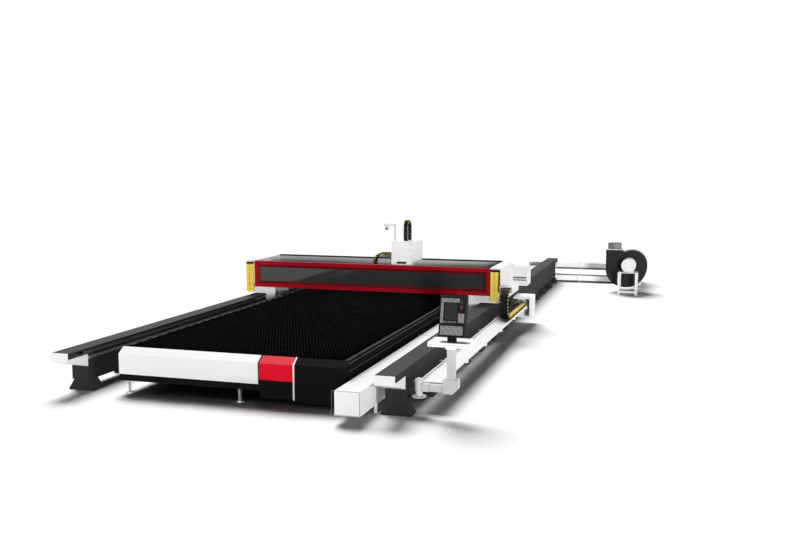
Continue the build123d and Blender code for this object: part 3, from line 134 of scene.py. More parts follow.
class SurfaceGroups:
    """Shader node groups that the finishes share."""

    STRETCH = {
        Grain.PAINT: (1.0, 1.0, 1.0),
        Grain.SMOOTH: (1.0, 1.0, 1.0),
        Grain.BRUSHED: (1.0, 0.02, 1.0),
        Grain.SCORCHED: (1.0, 1.0, 0.4),
    }
    DRIFT = {Grain.PAINT: 1.1, Grain.SMOOTH: 0.8, Grain.BRUSHED: 6.0, Grain.SCORCHED: 3.5}
    GLOSS_SPREAD = {Grain.PAINT: 0.08, Grain.SMOOTH: 0.03, Grain.BRUSHED: 0.15, Grain.SCORCHED: 0.25}
    # Painted highlight: heights and gains of the ramp that brightens the slats' teeth towards their tips.
    TIP_HIGHLIGHT = (0.712, 0.748, 1.0, 5.0)
    CLOUD_RANGE = (0.25, 0.75)
    CLOUD_DETAIL = 4.0
    FINE_DETAIL = 2.0

    @classmethod
    def tree(cls, grain: Grain) -> bpy.types.ShaderNodeTree:
        """Return the node group of a grain, built once.

        Args:
            grain: which surface variation the group gives.

        Returns:
            A group that puts out Colour, Roughness and Height over the surface.
        """
        name = "surface_" + grain.value
        found = bpy.data.node_groups.get(name)
        if found:
            return found
        group = bpy.data.node_groups.new(name, "ShaderNodeTree")
        cls._sockets(group)
        nodes, links = group.nodes, group.links
        given = nodes.new("NodeGroupInput")
        place = nodes.new("ShaderNodeTexCoord")
        stretch = nodes.new("ShaderNodeMapping")
        stretch.inputs["Scale"].default_value = cls.STRETCH[grain]
        links.new(place.outputs["Object"], stretch.inputs["Vector"])
        cloud = cls._noise(group, stretch, cls.DRIFT[grain], cls.CLOUD_DETAIL)
        fine = cls._noise(group, stretch, None, cls.FINE_DETAIL)
        links.new(given.outputs["Scale"], fine.inputs["Scale"])

        drift = nodes.new("ShaderNodeMapRange")
        drift.inputs["From Min"].default_value = cls.CLOUD_RANGE[0]
        drift.inputs["From Max"].default_value = cls.CLOUD_RANGE[1]
        links.new(cloud.outputs["Fac"], drift.inputs["Value"])
        depth = nodes.new("ShaderNodeMath")
        depth.operation = "MULTIPLY"
        links.new(drift.outputs["Result"], depth.inputs[0])
        links.new(given.outputs["Mottle"], depth.inputs[1])
        shade = nodes.new("ShaderNodeMix")
        shade.data_type = "RGBA"
        shade.blend_type = "MULTIPLY"
        shade.inputs["B"].default_value = (0.0, 0.0, 0.0, 1.0)
        links.new(depth.outputs["Value"], shade.inputs["Factor"])
        links.new(given.outputs["Colour"], shade.inputs["A"])

        spread = nodes.new("ShaderNodeMath")
        spread.operation = "MULTIPLY_ADD"
        spread.use_clamp = True
        spread.inputs[1].default_value = cls.GLOSS_SPREAD[grain]
        links.new(drift.outputs["Result"], spread.inputs[0])
        links.new(given.outputs["Roughness"], spread.inputs[2])

        tip_highlight = nodes.new("ShaderNodeVectorMath")
        tip_highlight.operation = "SCALE"
        tip_highlight.inputs["Scale"].default_value = 1.0
        links.new(shade.outputs["Result"], tip_highlight.inputs[0])
        # Painted highlight on the scorched slats: brighter towards each tooth's tip.
        if grain is Grain.SCORCHED:
            links.new(cls._tip_highlight_ramp(group, place), tip_highlight.inputs["Scale"])

        result = nodes.new("NodeGroupOutput")
        links.new(tip_highlight.outputs["Vector"], result.inputs["Colour"])
        links.new(spread.outputs["Value"], result.inputs["Roughness"])
        links.new(fine.outputs["Fac"], result.inputs["Height"])
        return group

    @classmethod
    def _tip_highlight_ramp(
        cls, group: bpy.types.ShaderNodeTree, place: bpy.types.ShaderNode
    ) -> bpy.types.NodeSocket:
        """Add a ramp that brightens a tooth towards its tip, as a painted highlight.

        Args:
            group: the group to add to.
            place: the node that gives the place on the object.

        Returns:
            The socket with the factor, 1 at the tooth's root.
        """
        parts = group.nodes.new("ShaderNodeSeparateXYZ")
        group.links.new(place.outputs["Object"], parts.inputs["Vector"])
        ramp = group.nodes.new("ShaderNodeMapRange")
        for name, value in zip(("From Min", "From Max", "To Min", "To Max"), cls.TIP_HIGHLIGHT):
            ramp.inputs[name].default_value = value
        group.links.new(parts.outputs["Z"], ramp.inputs["Value"])
        return ramp.outputs["Result"]

    @staticmethod
    def _sockets(group: bpy.types.ShaderNodeTree) -> None:
        """Give a group its named inputs and outputs."""
        interface = group.interface
        interface.new_socket("Colour", in_out="INPUT", socket_type="NodeSocketColor")
        for name in ("Roughness", "Mottle", "Scale"):
            interface.new_socket(name, in_out="INPUT", socket_type="NodeSocketFloat")
        interface.new_socket("Colour", in_out="OUTPUT", socket_type="NodeSocketColor")
        for name in ("Roughness", "Height"):
            interface.new_socket(name, in_out="OUTPUT", socket_type="NodeSocketFloat")

    @staticmethod
    def _noise(
        group: bpy.types.ShaderNodeTree,
        mapping: bpy.types.ShaderNode,
        scale: float | None,
        detail: float,
    ) -> bpy.types.ShaderNode:
        """Add a noise texture on the mapped place.

        Args:
            group: the group to add to.
            mapping: the node whose vector the noise reads.
            scale: grains per metre, or None where an input sets it.
            detail: octaves of the noise.

        Returns:
            The noise node.
        """
        noise = group.nodes.new("ShaderNodeTexNoise")
        noise.inputs["Detail"].default_value = detail
        if scale is not None:
            noise.inputs["Scale"].default_value = scale
        group.links.new(mapping.outputs["Vector"], noise.inputs["Vector"])
        return noise


WHITE = Finish("white_paint", (0.74, 0.74, 0.74), 0.42, mottle=0.03, specular=0.3)
# Painted light: a brighter copy of white_paint makes the head cover, its side plates, the cross ducts and the
# console tray look more strongly lit.
PAINTED_LIGHT_WHITE = Finish("white_paint", (0.95, 0.95, 0.95), 0.42, mottle=0.02, specular=0.3, shade="bright")
# Painted shade: a darker copy of white_paint makes the drive cabinet look shaded.
PAINTED_SHADE_CABINET_WHITE = Finish("white_paint", (0.64, 0.64, 0.64), 0.42, mottle=0.03, specular=0.3, shade="cabinet")
# Painted shade: a darker copy of white_paint makes the console arm, its column and its collar look shaded.
PAINTED_SHADE_ARM_WHITE = Finish("white_paint", (0.50, 0.50, 0.50), 0.42, mottle=0.03, specular=0.3, shade="arm")
CHARCOAL = Finish("charcoal_paint", (0.022, 0.022, 0.023), 0.65, mottle=0.12, specular=0.08)
BLACK = Finish("black_paint", (0.006, 0.006, 0.006), 0.7, mottle=0.15, specular=0.03)
RED = Finish("red_paint", (0.60, 0.001, 0.013), 0.5, mottle=0.04, specular=0.1)
CRIMSON = Finish("crimson_paint", (0.31, 0.0004, 0.008), 0.5, mottle=0.06, specular=0.1)
# The deep copy of crimson darkens the window's sloping lip as painted shade and colours the shield's screws.
CRIMSON_DEEP = Finish("crimson_paint", (0.12, 0.004, 0.007), 0.5, mottle=0.06, specular=0.1, shade="deep")
GREY = Finish("grey_paint", (0.55, 0.55, 0.55), 0.45, mottle=0.05)
COLLAR = Finish("grey_paint", (0.20, 0.20, 0.20), 0.5, mottle=0.08, specular=0.2, shade="dark")
FAN = Finish("fan_paint", (0.022, 0.022, 0.024), 0.6, mottle=0.15, specular=0.08)
YELLOW = Finish("yellow_paint", (0.78, 0.56, 0.06), 0.42, mottle=0.05)
GUIDE_STEEL = Finish("guide_steel", (0.30, 0.30, 0.31), 0.3, 0.9, grain=Grain.BRUSHED, scale=900)
FOOT_STEEL = Finish("foot_steel", (0.40, 0.40, 0.41), 0.4, 0.8, mottle=0.2)
# Its scorched grain brightens the teeth towards their tips as a painted highlight.
SLAT_STEEL = Finish("slat_steel", (0.006, 0.006, 0.006), 0.7, mottle=0.6, grain=Grain.SCORCHED, specular=0.05)
CLIP = Finish("guide_steel", (0.09, 0.09, 0.092), 0.6, mottle=0.2, specular=0.2, shade="clip")
FIELD = Finish("panel_grey", (0.26, 0.26, 0.26), 0.5, mottle=0.08, specular=0.2, shade="pale")
CHAIN = Finish("chain_plastic", (0.010, 0.010, 0.010), 0.55, mottle=0.1, grain=Grain.SMOOTH, specular=0.08)
CAP = Finish("cap_plastic", (0.010, 0.010, 0.010), 0.55, mottle=0.1, grain=Grain.SMOOTH, specular=0.08)
MOTOR = Finish("motor_grey", (0.10, 0.10, 0.11), 0.5, mottle=0.15)
COPPER = Finish("nozzle_copper", (0.70, 0.34, 0.18), 0.25, 1.0, mottle=0.15, grain=Grain.BRUSHED, scale=900)
WINDOW = Finish("window_glass", (0.030, 0.031, 0.031), 0.03, mottle=0.05, peel=0.0, grain=Grain.SMOOTH)
MONITOR = Finish("monitor_plastic", (0.008, 0.008, 0.008), 0.6, mottle=0.1, specular=0.05)
SCREEN = Finish(
    "screen_glass", (0.010, 0.0105, 0.011), 0.1, mottle=0.05, peel=0.0, grain=Grain.SMOOTH, specular=0.3
)
PANEL = Finish("panel_grey", (0.016, 0.016, 0.016), 0.6, mottle=0.06, specular=0.05)
BUTTON_RED = Finish("button_red", (0.10, 0.004, 0.004), 0.35, mottle=0.05, grain=Grain.SMOOTH)
BUTTON_GREEN = Finish("button_green", (0.006, 0.06, 0.015), 0.35, mottle=0.05, grain=Grain.SMOOTH)
FINISHES = (
    WHITE, CHARCOAL, BLACK, RED, CRIMSON, GREY, FAN, YELLOW, GUIDE_STEEL, FOOT_STEEL, SLAT_STEEL,
    CHAIN, CAP, MOTOR, COPPER, WINDOW, MONITOR, SCREEN, PANEL, BUTTON_RED, BUTTON_GREEN,
)


class Solids:
    """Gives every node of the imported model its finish."""

    # Lit and shaded copies of white_paint: the brighter one is painted light, and the cabinet and arm copies
    # are painted shade. The outlet collar takes a darker grey.
    SHADES = {
        "head_cover": PAINTED_LIGHT_WHITE,
        "cross_ducts": PAINTED_LIGHT_WHITE,
        "console_tray": PAINTED_LIGHT_WHITE,
        "fan_outlet_collar": COLLAR,
        "console_arm": PAINTED_SHADE_ARM_WHITE,
        "console_column": PAINTED_SHADE_ARM_WHITE,
        "drive_cabinet": PAINTED_SHADE_CABINET_WHITE,
    }

    def dress(self) -> None:
        """Assign each node the finish named by its slot in the record."""
        by_slot = {finish.name: finish for finish in FINISHES}
        for entry in frame["record"]["subparts"]:
            name = entry["node"]
            self.paint(name, self.SHADES.get(name, by_slot[entry["material_slot"]]))

    @staticmethod
    def paint(name: str, finish: Finish) -> None:
        """Put one finish on all material slots of a node."""
        node = frame["nodes"][name]
        for slot in node.material_slots:
            slot.material = finish.material()
        if not node.material_slots:
            node.data.materials.append(finish.material())


class Axis(Enum):
    """Which way a round piece points."""

    X = (0.0, math.pi / 2, 0.0)
    Y = (math.pi / 2, 0.0, 0.0)
    Z = (0.0, 0.0, 0.0)


@dataclass(frozen=True)
class Round:
    """Sizes of a round piece whose two ends step in.

    The dish is the share of the radius by which the ends step in.
    """

    radius: float
    length: float
    sides: int
    dish: float = 0.3


class Bench:
    """Modelling moves that all the sub-assemblies share."""

    DISH_SLOPE = 3.0
    SEED = 0.01

    @staticmethod
    def settle() -> Piece:
        """Leave edit mode, put the place into the mesh and return the piece."""
        bpy.ops.object.mode_set(mode="OBJECT")
        bpy.ops.object.transform_apply(location=True, rotation=True, scale=True)
        return bpy.context.object

    @classmethod
    def block(cls, low: Corner, high: Corner, edge: float = 0.003, rounds: int = 1) -> Piece:
        """Model a block with broken edges.

        Args:
            low: lowest corner.
            high: highest corner.
            edge: width of the broken edges.
            rounds: faces across each broken edge.

        Returns:
            The block.
        """
        bpy.ops.object.select_all(action="DESELECT")
        middle = [(a + b) / 2 for a, b in zip(low, high)]
        bpy.ops.mesh.primitive_cube_add(size=1.0, location=middle)
        bpy.ops.object.mode_set(mode="EDIT")
        bpy.ops.transform.resize(value=[b - a for a, b in zip(low, high)])
        bpy.ops.mesh.bevel(offset=edge, segments=rounds, affect="EDGES")
        return cls.settle()

    @classmethod
    def drum(cls, middle: Corner, size: Round, axis: Axis) -> Piece:
        """Model a round piece whose two ends step in.

        Args:
            middle: centre of the piece.
            size: its radius, length, sides and dish.
            axis: which way it points.

        Returns:
            The round piece.
        """
        bpy.ops.object.select_all(action="DESELECT")
        bpy.ops.mesh.primitive_cylinder_add(
            vertices=size.sides, radius=size.radius, depth=size.length, location=middle, rotation=axis.value
        )
        bpy.ops.object.mode_set(mode="EDIT")
        bpy.ops.mesh.select_mode(type="FACE")
        bpy.ops.mesh.select_all(action="DESELECT")
        bpy.ops.mesh.select_face_by_sides(number=size.sides, type="EQUAL")
        rim = size.radius * size.dish
        bpy.ops.mesh.inset(thickness=rim, depth=rim / cls.DISH_SLOPE)
        return cls.settle()

    @classmethod
    def outline(cls, points: list[Corner], push: Corner) -> Piece:
        """Model a plate: draw its outline point by point, fill it and pull it to its thickness.

        Args:
            points: corners of the outline, in order.
            push: way and distance of the pull.

        Returns:
            The plate.
        """
        bpy.ops.object.select_all(action="DESELECT")
        bpy.ops.mesh.primitive_plane_add(size=cls.SEED, location=points[0])
        bpy.ops.object.mode_set(mode="EDIT")
        bpy.ops.mesh.select_mode(type="VERT")
        bpy.ops.mesh.merge(type="CENTER")
        for here, there in zip(points, points[1:]):
            step = [b - a for a, b in zip(here, there)]
            bpy.ops.mesh.extrude_vertices_move(TRANSFORM_OT_translate={"value": step})
        bpy.ops.mesh.select_all(action="SELECT")
        bpy.ops.mesh.edge_face_add()
        bpy.ops.mesh.extrude_region_move(TRANSFORM_OT_translate={"value": push})
        bpy.ops.mesh.select_all(action="SELECT")
        bpy.ops.mesh.normals_make_consistent(inside=False)
        return cls.settle()

    @classmethod
    def pull_x(cls, profile: Sequence[Span], start: float, end: float) -> Piece:
        """Model a plate or bar by pulling a profile of Y and Z along X, from start to end."""
        return cls.outline([(start, y, z) for y, z in profile], (end - start, 0.0, 0.0))

    @classmethod
    def pull_y(cls, profile: Sequence[Span], start: float, end: float) -> Piece:
        """Model a plate or bar by pulling a profile of X and Z along Y, from start to end."""
        return cls.outline([(x, start, z) for x, z in profile], (0.0, end - start, 0.0))

    @staticmethod
    def spread(pattern: Piece, moves: list[Matrix]) -> list[Piece]:
        """Copy a piece to each place, each copy with its own mesh, and drop the pattern.

        Args:
            pattern: the piece to copy.
            moves: where each copy goes from the pattern's own place.

        Returns:
            The copies.
        """
        made = []
        for move in moves:
            copy = pattern.copy()
            copy.data = pattern.data.copy()
            copy.data.transform(move)
            bpy.context.scene.collection.objects.link(copy)
            made.append(copy)
        bpy.data.objects.remove(pattern)
        return made

    @staticmethod
    def join(pieces: list[Piece]) -> Piece:
        """Make one piece of several."""
        bpy.ops.object.select_all(action="DESELECT")
        for piece in pieces:
            piece.select_set(True)
        bpy.context.view_layer.objects.active = pieces[0]
        bpy.ops.object.join()
        return bpy.context.object

    @classmethod
    def row(cls, pattern: Piece, steps: list[Corner]) -> Piece:
        """Copy a piece by each step and join the copies."""
        return cls.join(cls.spread(pattern, [Matrix.Translation(step) for step in steps]))

    @classmethod
    def rank(cls, pattern: Piece, places: Iterable[float]) -> Piece:
        """Copy a piece to each place along Y and join the copies."""
        return cls.row(pattern, [(0.0, y, 0.0) for y in places])

    @classmethod
    def stack(cls, pattern: Piece, heights: Iterable[float]) -> Piece:
        """Copy a piece to each height and join the copies."""
        return cls.row(pattern, [(0.0, 0.0, z) for z in heights])

    @staticmethod
    def mirror(side: int, near: float, far: float) -> Span:
        """Return two distances from the middle plane as low and high X on one side of it."""
        return (near, far) if side > 0 else (-far, -near)

    @staticmethod
    def fit(piece: Piece, name: str, finish: Finish, body: str | None, *nodes: str) -> Piece:
        """Name a piece, give it its finish and mount it on a body.

        Args:
            piece: the finished mesh.
            name: the piece's name.
            finish: its material.
            body: the body that it rides on, or None.
            nodes: the solids that it stands for.

        Returns:
            The piece.
        """
        piece.name = name
        piece.data.name = name
        piece.data.materials.clear()
        piece.data.materials.append(finish.material())
        if body:
            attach(piece, body)
        if nodes:
            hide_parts(*nodes)
        LOG.info("%s: %d faces", name, len(piece.data.polygons))
        return piece


@dataclass
class CuttingBed:
    """Slats, combs, chute, tray straps and edge trims of the bed."""

    slat_count: int = 110
    tooth_count: int = 64
    slat_sheet: float = 0.003
    valley: float = 0.705
    comb_x: float = 1.740
    comb_sheet: float = 0.006
    comb_top: float = 0.69
    comb_bottom: float = 0.56
    slot_width: float = 0.008
    ledge_end: float = 1.889
    ledge_z: Span = (0.558, 0.566)
    clip: Slab = ((-1.848, 0.0, 0.742), (-1.836, 0.15, 0.753))
    clip_pitch: float = 0.30
    trim_start: float = 0.14
    trim_end: float = 0.002
    trim_spans: tuple[tuple[Span, Span], ...] = (
        ((1.886, 0.744), (1.896, 0.754)), ((1.896, 0.690), (1.905, 0.702)), ((1.896, 0.572), (1.905, 0.584))
    )
    apron_half: float = 1.735
    apron_wall: float = -8.047
    apron_lip: float = -7.805
    apron_top: float = 0.655
    apron_knee: float = 0.625
    apron_foot: float = 0.568
    tray_sheet: float = 0.004
    tray_count: int = 6
    tray_gap: float = 0.060
    tray_belly: tuple[Span, ...] = (
        (-1.7276, 0.5607), (-1.3936, 0.3428), (1.3936, 0.3428), (1.7276, 0.5607)
    )
    strap_nest: float = 0.9992

    def build(self) -> None:
        """Model every piece of the bed."""
        self._slats()
        self._apron()
        self._straps()
        self._combs()
        self._clips()
        self._trims()

    def _places(self) -> list[float]:
        """Return the places of the slats along the bed."""
        low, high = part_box("slats")
        pitch = (high[1] - low[1]) / self.slat_count
        return [low[1] + pitch * (i + 0.5) for i in range(self.slat_count)]

    def _slats(self) -> None:
        """Cut one slat with its saw teeth and stand copies of it along the bed."""
        low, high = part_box("slats")
        pitch = (high[0] - low[0]) / self.tooth_count
        edge = [(low[0], low[2])]
        for i in range(self.tooth_count):
            edge.append((low[0] + pitch * i, self.valley))
            edge.append((low[0] + pitch * (i + 0.5), high[2]))
        edge += [(high[0], self.valley), (high[0], low[2])]
        slats = Bench.rank(Bench.pull_y(edge, 0.0, self.slat_sheet), self._places())
        Bench.fit(slats, "cutting_slats", SLAT_STEEL, "base", "slats")

    def _combs(self) -> None:
        """Stand a comb tooth between every two slats on both sides, on a folded ledge."""
        low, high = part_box("slat_combs")
        places = self._places()
        pitch = places[1] - places[0]
        half = (pitch - self.slot_width) / 2
        middles = [y + pitch / 2 + self.slat_sheet / 2 for y in places[:-1]]
        pieces = []
        for side in SIDES:
            left, right = Bench.mirror(side, self.comb_x, self.comb_x + self.comb_sheet)
            tooth = Bench.block((left, -half, self.comb_bottom), (right, half, self.comb_top), SHEET_EDGE)
            pieces.append(Bench.rank(tooth, middles))
            left, right = Bench.mirror(side, self.comb_x, self.ledge_end)
            bottom, top = self.ledge_z
            pieces.append(Bench.block((left, low[1], bottom), (right, high[1], top), SHEET_EDGE))
        Bench.fit(Bench.join(pieces), "comb_teeth", SLAT_STEEL, "base", "slat_combs")

    def _apron(self) -> None:
        """Bend the chute that leads slag from the front beam into the first tray."""
        wall, lip, sheet = self.apron_wall, self.apron_lip, self.tray_sheet
        edge = [
            (wall, self.apron_top), (wall + sheet, self.apron_top), (wall + sheet, self.apron_knee),
            (lip, self.apron_foot + sheet), (lip, self.apron_foot), (wall, self.apron_knee - sheet),
        ]
        apron = Bench.pull_x(edge, -self.apron_half, self.apron_half)
        Bench.fit(apron, "slag_apron", SLAT_STEEL, "base")

    def _straps(self) -> None:
        """Lay a folded strap over every joint of the slag trays and close their two ends."""
        low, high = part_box("slag_trays")
        gap, belly, sheet = self.tray_gap, self.tray_belly, self.tray_sheet
        pitch = (high[1] - low[1] + gap) / self.tray_count
        joints = [low[1] + pitch * i - gap / 2 for i in range(1, self.tray_count)]
        crown = [(x * self.strap_nest, z + sheet) for x, z in reversed(belly)]
        straps = Bench.rank(Bench.pull_y([*belly, *crown], -gap, gap), joints)
        ends = Bench.rank(Bench.pull_y(belly, 0.0, sheet), [self.apron_lip, high[1] - 2 * sheet])
        Bench.fit(Bench.join([straps, ends]), "tray_straps", SLAT_STEEL, "base")

    def _clips(self) -> None:
        """Lay the clips along the left flange's inner edge."""
        low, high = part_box("slats")
        count = int((high[1] - low[1]) / self.clip_pitch)
        clips = Bench.rank(Bench.block(*self.clip), [low[1] + i * self.clip_pitch for i in range(count)])
        Bench.fit(clips, "flange_clips", CLIP, "base")

    def _trims(self) -> None:
        """Run slim rails along the right flange and two folds along the outer wall below it."""
        low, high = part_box("bed_sides")
        start, end = low[1] + self.trim_start, high[1] - self.trim_end
        rails = [Bench.block((x0, start, z0), (x1, end, z1)) for (x0, z0), (x1, z1) in self.trim_spans]
        Bench.fit(Bench.join(rails), "flange_rails", CLIP, "base")


@dataclass(frozen=True)
class Link:
    """Sizes of one chain link, modelled along its own X axis with its inner side up.

    Shares of plates and latches are of the pitch along the link and of the height across it, and
    shares of the crossbars are of the plate's half length.
    """

    pitch: float
    width: float
    height: float
    plate: float = 0.010
    plate_share: float = 0.46
    corner_share: float = 0.22
    bar_foot: float = 0.6
    bar_crown: float = 0.5
    bar_height: float = 0.006
    bar_inset: float = 0.002
    hose_share: float = 0.24
    hose_sides: int = 8
    hose_dish: float = 0.1
    latch_share: Span = (0.26, 0.17)
    latch_taper: float = 0.8
    latch_proud: float = 0.003
    latch_sheet: float = 0.005
    strip_drop: float = 0.05
    strip_proud: float = 0.006
    strip_width: float = 0.045

    def body(self) -> Piece:
        """Model two side plates, the crossbars and the hoses that the link carries."""
        half, top, cut = self.pitch * self.plate_share, self.height / 2, self.height * self.corner_share
        edge = [
            (-half, -top + cut), (-half + cut, -top), (half - cut, -top), (half, -top + cut),
            (half, top - cut), (half - cut, top), (-half + cut, top), (-half, top - cut),
        ]
        reach = self.width / 2 - self.plate
        pieces = [Bench.pull_y(edge, start, start + self.plate) for start in (-self.width / 2, reach)]
        foot, crown = half * self.bar_foot, half * self.bar_crown
        for low in (-top + self.bar_inset, top - self.bar_inset - self.bar_height):
            high = low + self.bar_height
            bar = [(-foot, low), (foot, low), (crown, high), (-crown, high)]
            pieces.append(Bench.pull_y(bar, -reach, reach))
        hose = Round(self.height * self.hose_share, self.pitch, self.hose_sides, self.hose_dish)
        pieces += [Bench.drum((0.0, y, 0.0), hose, Axis.X) for y in (-reach / 2, 0.0, reach / 2)]
        return Bench.join(pieces)

    def latch(self) -> Piece:
        """Model the coloured latch on the link's visible side."""
        half, top = self.pitch * self.latch_share[0], self.height * self.latch_share[1]
        crown = half * self.latch_taper
        start = -self.width / 2 - self.latch_proud
        edge = [(-half, -top), (half, -top), (crown, top), (-crown, top)]
        return Bench.pull_y(edge, start, start + self.latch_sheet)

    def strip(self) -> Piece:
        """Model the coloured edge strip along the link's inner side."""
        half, edge, top = self.pitch / 2, -self.width / 2, self.height / 2
        low = -half, edge - self.strip_proud, top - self.strip_drop
        high = half, edge + self.strip_width, top + self.strip_proud
        return Bench.block(low, high, PLATE_EDGE)


class ChainPath:
    """Places of a chain's links: a middle and a heading for each, in the chain's plane."""

    def __init__(self) -> None:
        """Start with no links."""
        self.places: list[tuple[float, float, float]] = []

    def straight(self, start: Span, end: Span, count: int) -> "ChainPath":
        """Add links along a straight leg.

        Args:
            start: where the leg begins.
            end: where it ends.
            count: links on it.

        Returns:
            This path.
        """
        heading = math.atan2(end[1] - start[1], end[0] - start[0])
        for i in range(count):
            share = (i + 0.5) / count
            u = start[0] + (end[0] - start[0]) * share
            w = start[1] + (end[1] - start[1]) * share
            self.places.append((u, w, heading))
        return self

    def half_turn(self, middle: Span, radius: float, start: float, count: int) -> "ChainPath":
        """Add links round half a turn, counter-clockwise.

        Args:
            middle: centre of the bend.
            radius: to the links' middle.
            start: first angle in degrees.
            count: links on the bend.

        Returns:
            This path.
        """
        for i in range(count):
            angle = math.radians(start) + math.pi * (i + 0.5) / count
            u, w = middle[0] + radius * math.cos(angle), middle[1] + radius * math.sin(angle)
            self.places.append((u, w, angle + math.pi / 2))
        return self

    def along_rail(self, x: float) -> list[Matrix]:
        """Return the moves of a chain that lies in an upright plane along the rails."""
        across = Matrix.Rotation(math.pi / 2, 4, "Z")
        return [
            Matrix.Translation((x, u, w)) @ across @ Matrix.Rotation(-heading, 4, "Y")
            for u, w, heading in self.places
        ]

    def along_beam(self, y: float) -> list[Matrix]:
        """Return the moves of a chain that lies in an upright plane along the beam."""
        return [
            Matrix.Translation((u, y, w)) @ Matrix.Rotation(-heading, 4, "Y")
            for u, w, heading in self.places
        ]


@dataclass
class EnergyChains:
    """The three energy chains, link by link.

    Counts are the links on a chain's first leg, on its bend and on its last leg or run.
    """

    rail_link: Link = Link(0.074, 0.17, 0.08)
    beam_link: Link = Link(0.062, 0.17, 0.056)
    head_link: Link = Link(0.046, 0.09, 0.05, 0.007)
    rail_counts: tuple[int, int, int] = (2, 12, 24)
    beam_counts: tuple[int, int, int] = (6, 10, 34)
    head_counts: tuple[int, int, int] = (6, 10, 6)
    rail_x: float = 3.095
    rail_anchor: float = -0.10
    rail_bend: float = -1.863
    rail_clamp: float = -1.71
    rail_radius: float = 0.277
    rail_low: float = 0.4865
    beam_y: float = -0.62
    beam_bend: float = 0.04
    beam_end: float = 2.2
    beam_head: float = 0.45
    beam_radius: float = 0.212
    head_x: float = 0.731
    head_leg: float = -1.2
    head_foot: float = 1.96
    head_radius: float = 0.15
    head_turn: float = 2.235

    def build(self) -> None:
        """Model the chains."""
        self._rail_chain()
        self._beam_chain()
        self._head_chain()

    @staticmethod
    def _chain(name: str, link: Link, moves: list[Matrix], body: str | None, node: str) -> list[Piece]:
        """Make a chain's links and latches.

        Args:
            name: what the pieces are called.
            link: sizes of a link.
            moves: place of each link.
            body: the body that the chain rides on, or None.
            node: the solid that the links stand for.

        Returns:
            The links and the latches.
        """
        links = Bench.join(Bench.spread(link.body(), moves))
        latches = Bench.join(Bench.spread(link.latch(), moves))
        return [
            Bench.fit(links, name + "_links", CHAIN, body, node),
            Bench.fit(latches, name + "_latches", YELLOW, body),
        ]

    def _rail_chain(self) -> None:
        """Lay the long chain: a bend on the gantry and a run in the trough."""
        on_leg, on_bend, on_run = self.rail_counts
        low, high = self.rail_low, self.rail_low + 2 * self.rail_radius
        bend = ChainPath().straight((self.rail_clamp, high), (self.rail_bend, high), on_leg)
        bend.half_turn((self.rail_bend, low + self.rail_radius), self.rail_radius, 90, on_bend)
        moves = bend.along_rail(self.rail_x)
        self._chain("rail_chain_bend", self.rail_link, moves, "gantry", "y_chain_loop")
        run = ChainPath().straight((self.rail_bend, low), (self.rail_anchor, low), on_run)
        moves = run.along_rail(self.rail_x)
        pieces = self._chain("rail_chain_run", self.rail_link, moves, None, "y_chain_run")
        strip = Bench.join(Bench.spread(self.rail_link.strip(), moves))
        pieces.append(Bench.fit(strip, "rail_chain_strip", YELLOW, None))
        for piece in pieces:
            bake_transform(piece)

    def _beam_chain(self) -> None:
        """Lay the chain behind the beam: a bend on the carriage and a run on the shelf."""
        on_leg, on_bend, on_run = self.beam_counts
        low_corner, high_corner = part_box("x_chain_run")
        low = (low_corner[2] + high_corner[2]) / 2
        high = low + 2 * self.beam_radius
        bend = ChainPath().straight((self.beam_head, high), (self.beam_bend, high), on_leg)
        bend.half_turn((self.beam_bend, low + self.beam_radius), self.beam_radius, 90, on_bend)
        moves = bend.along_beam(self.beam_y)
        self._chain("beam_chain_bend", self.beam_link, moves, "carriage", "x_chain_loop")
        run = ChainPath().straight((self.beam_bend, low), (self.beam_end, low), on_run)
        moves = run.along_beam(self.beam_y)
        for piece in self._chain("beam_chain_run", self.beam_link, moves, None, "x_chain_run"):
            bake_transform(piece)

    def _head_chain(self) -> None:
        """Stand the upright chain on the head cover."""
        on_back, on_bend, on_front = self.head_counts
        back = self.head_leg + 2 * self.head_radius
        path = ChainPath().straight((back, self.head_foot), (back, self.head_turn), on_back)
        path.half_turn((self.head_leg + self.head_radius, self.head_turn), self.head_radius, 0, on_bend)
        path.straight((self.head_leg, self.head_turn), (self.head_leg, self.head_foot), on_front)
        self._chain("head_chain", self.head_link, path.along_rail(self.head_x), "carriage", "z_chain")


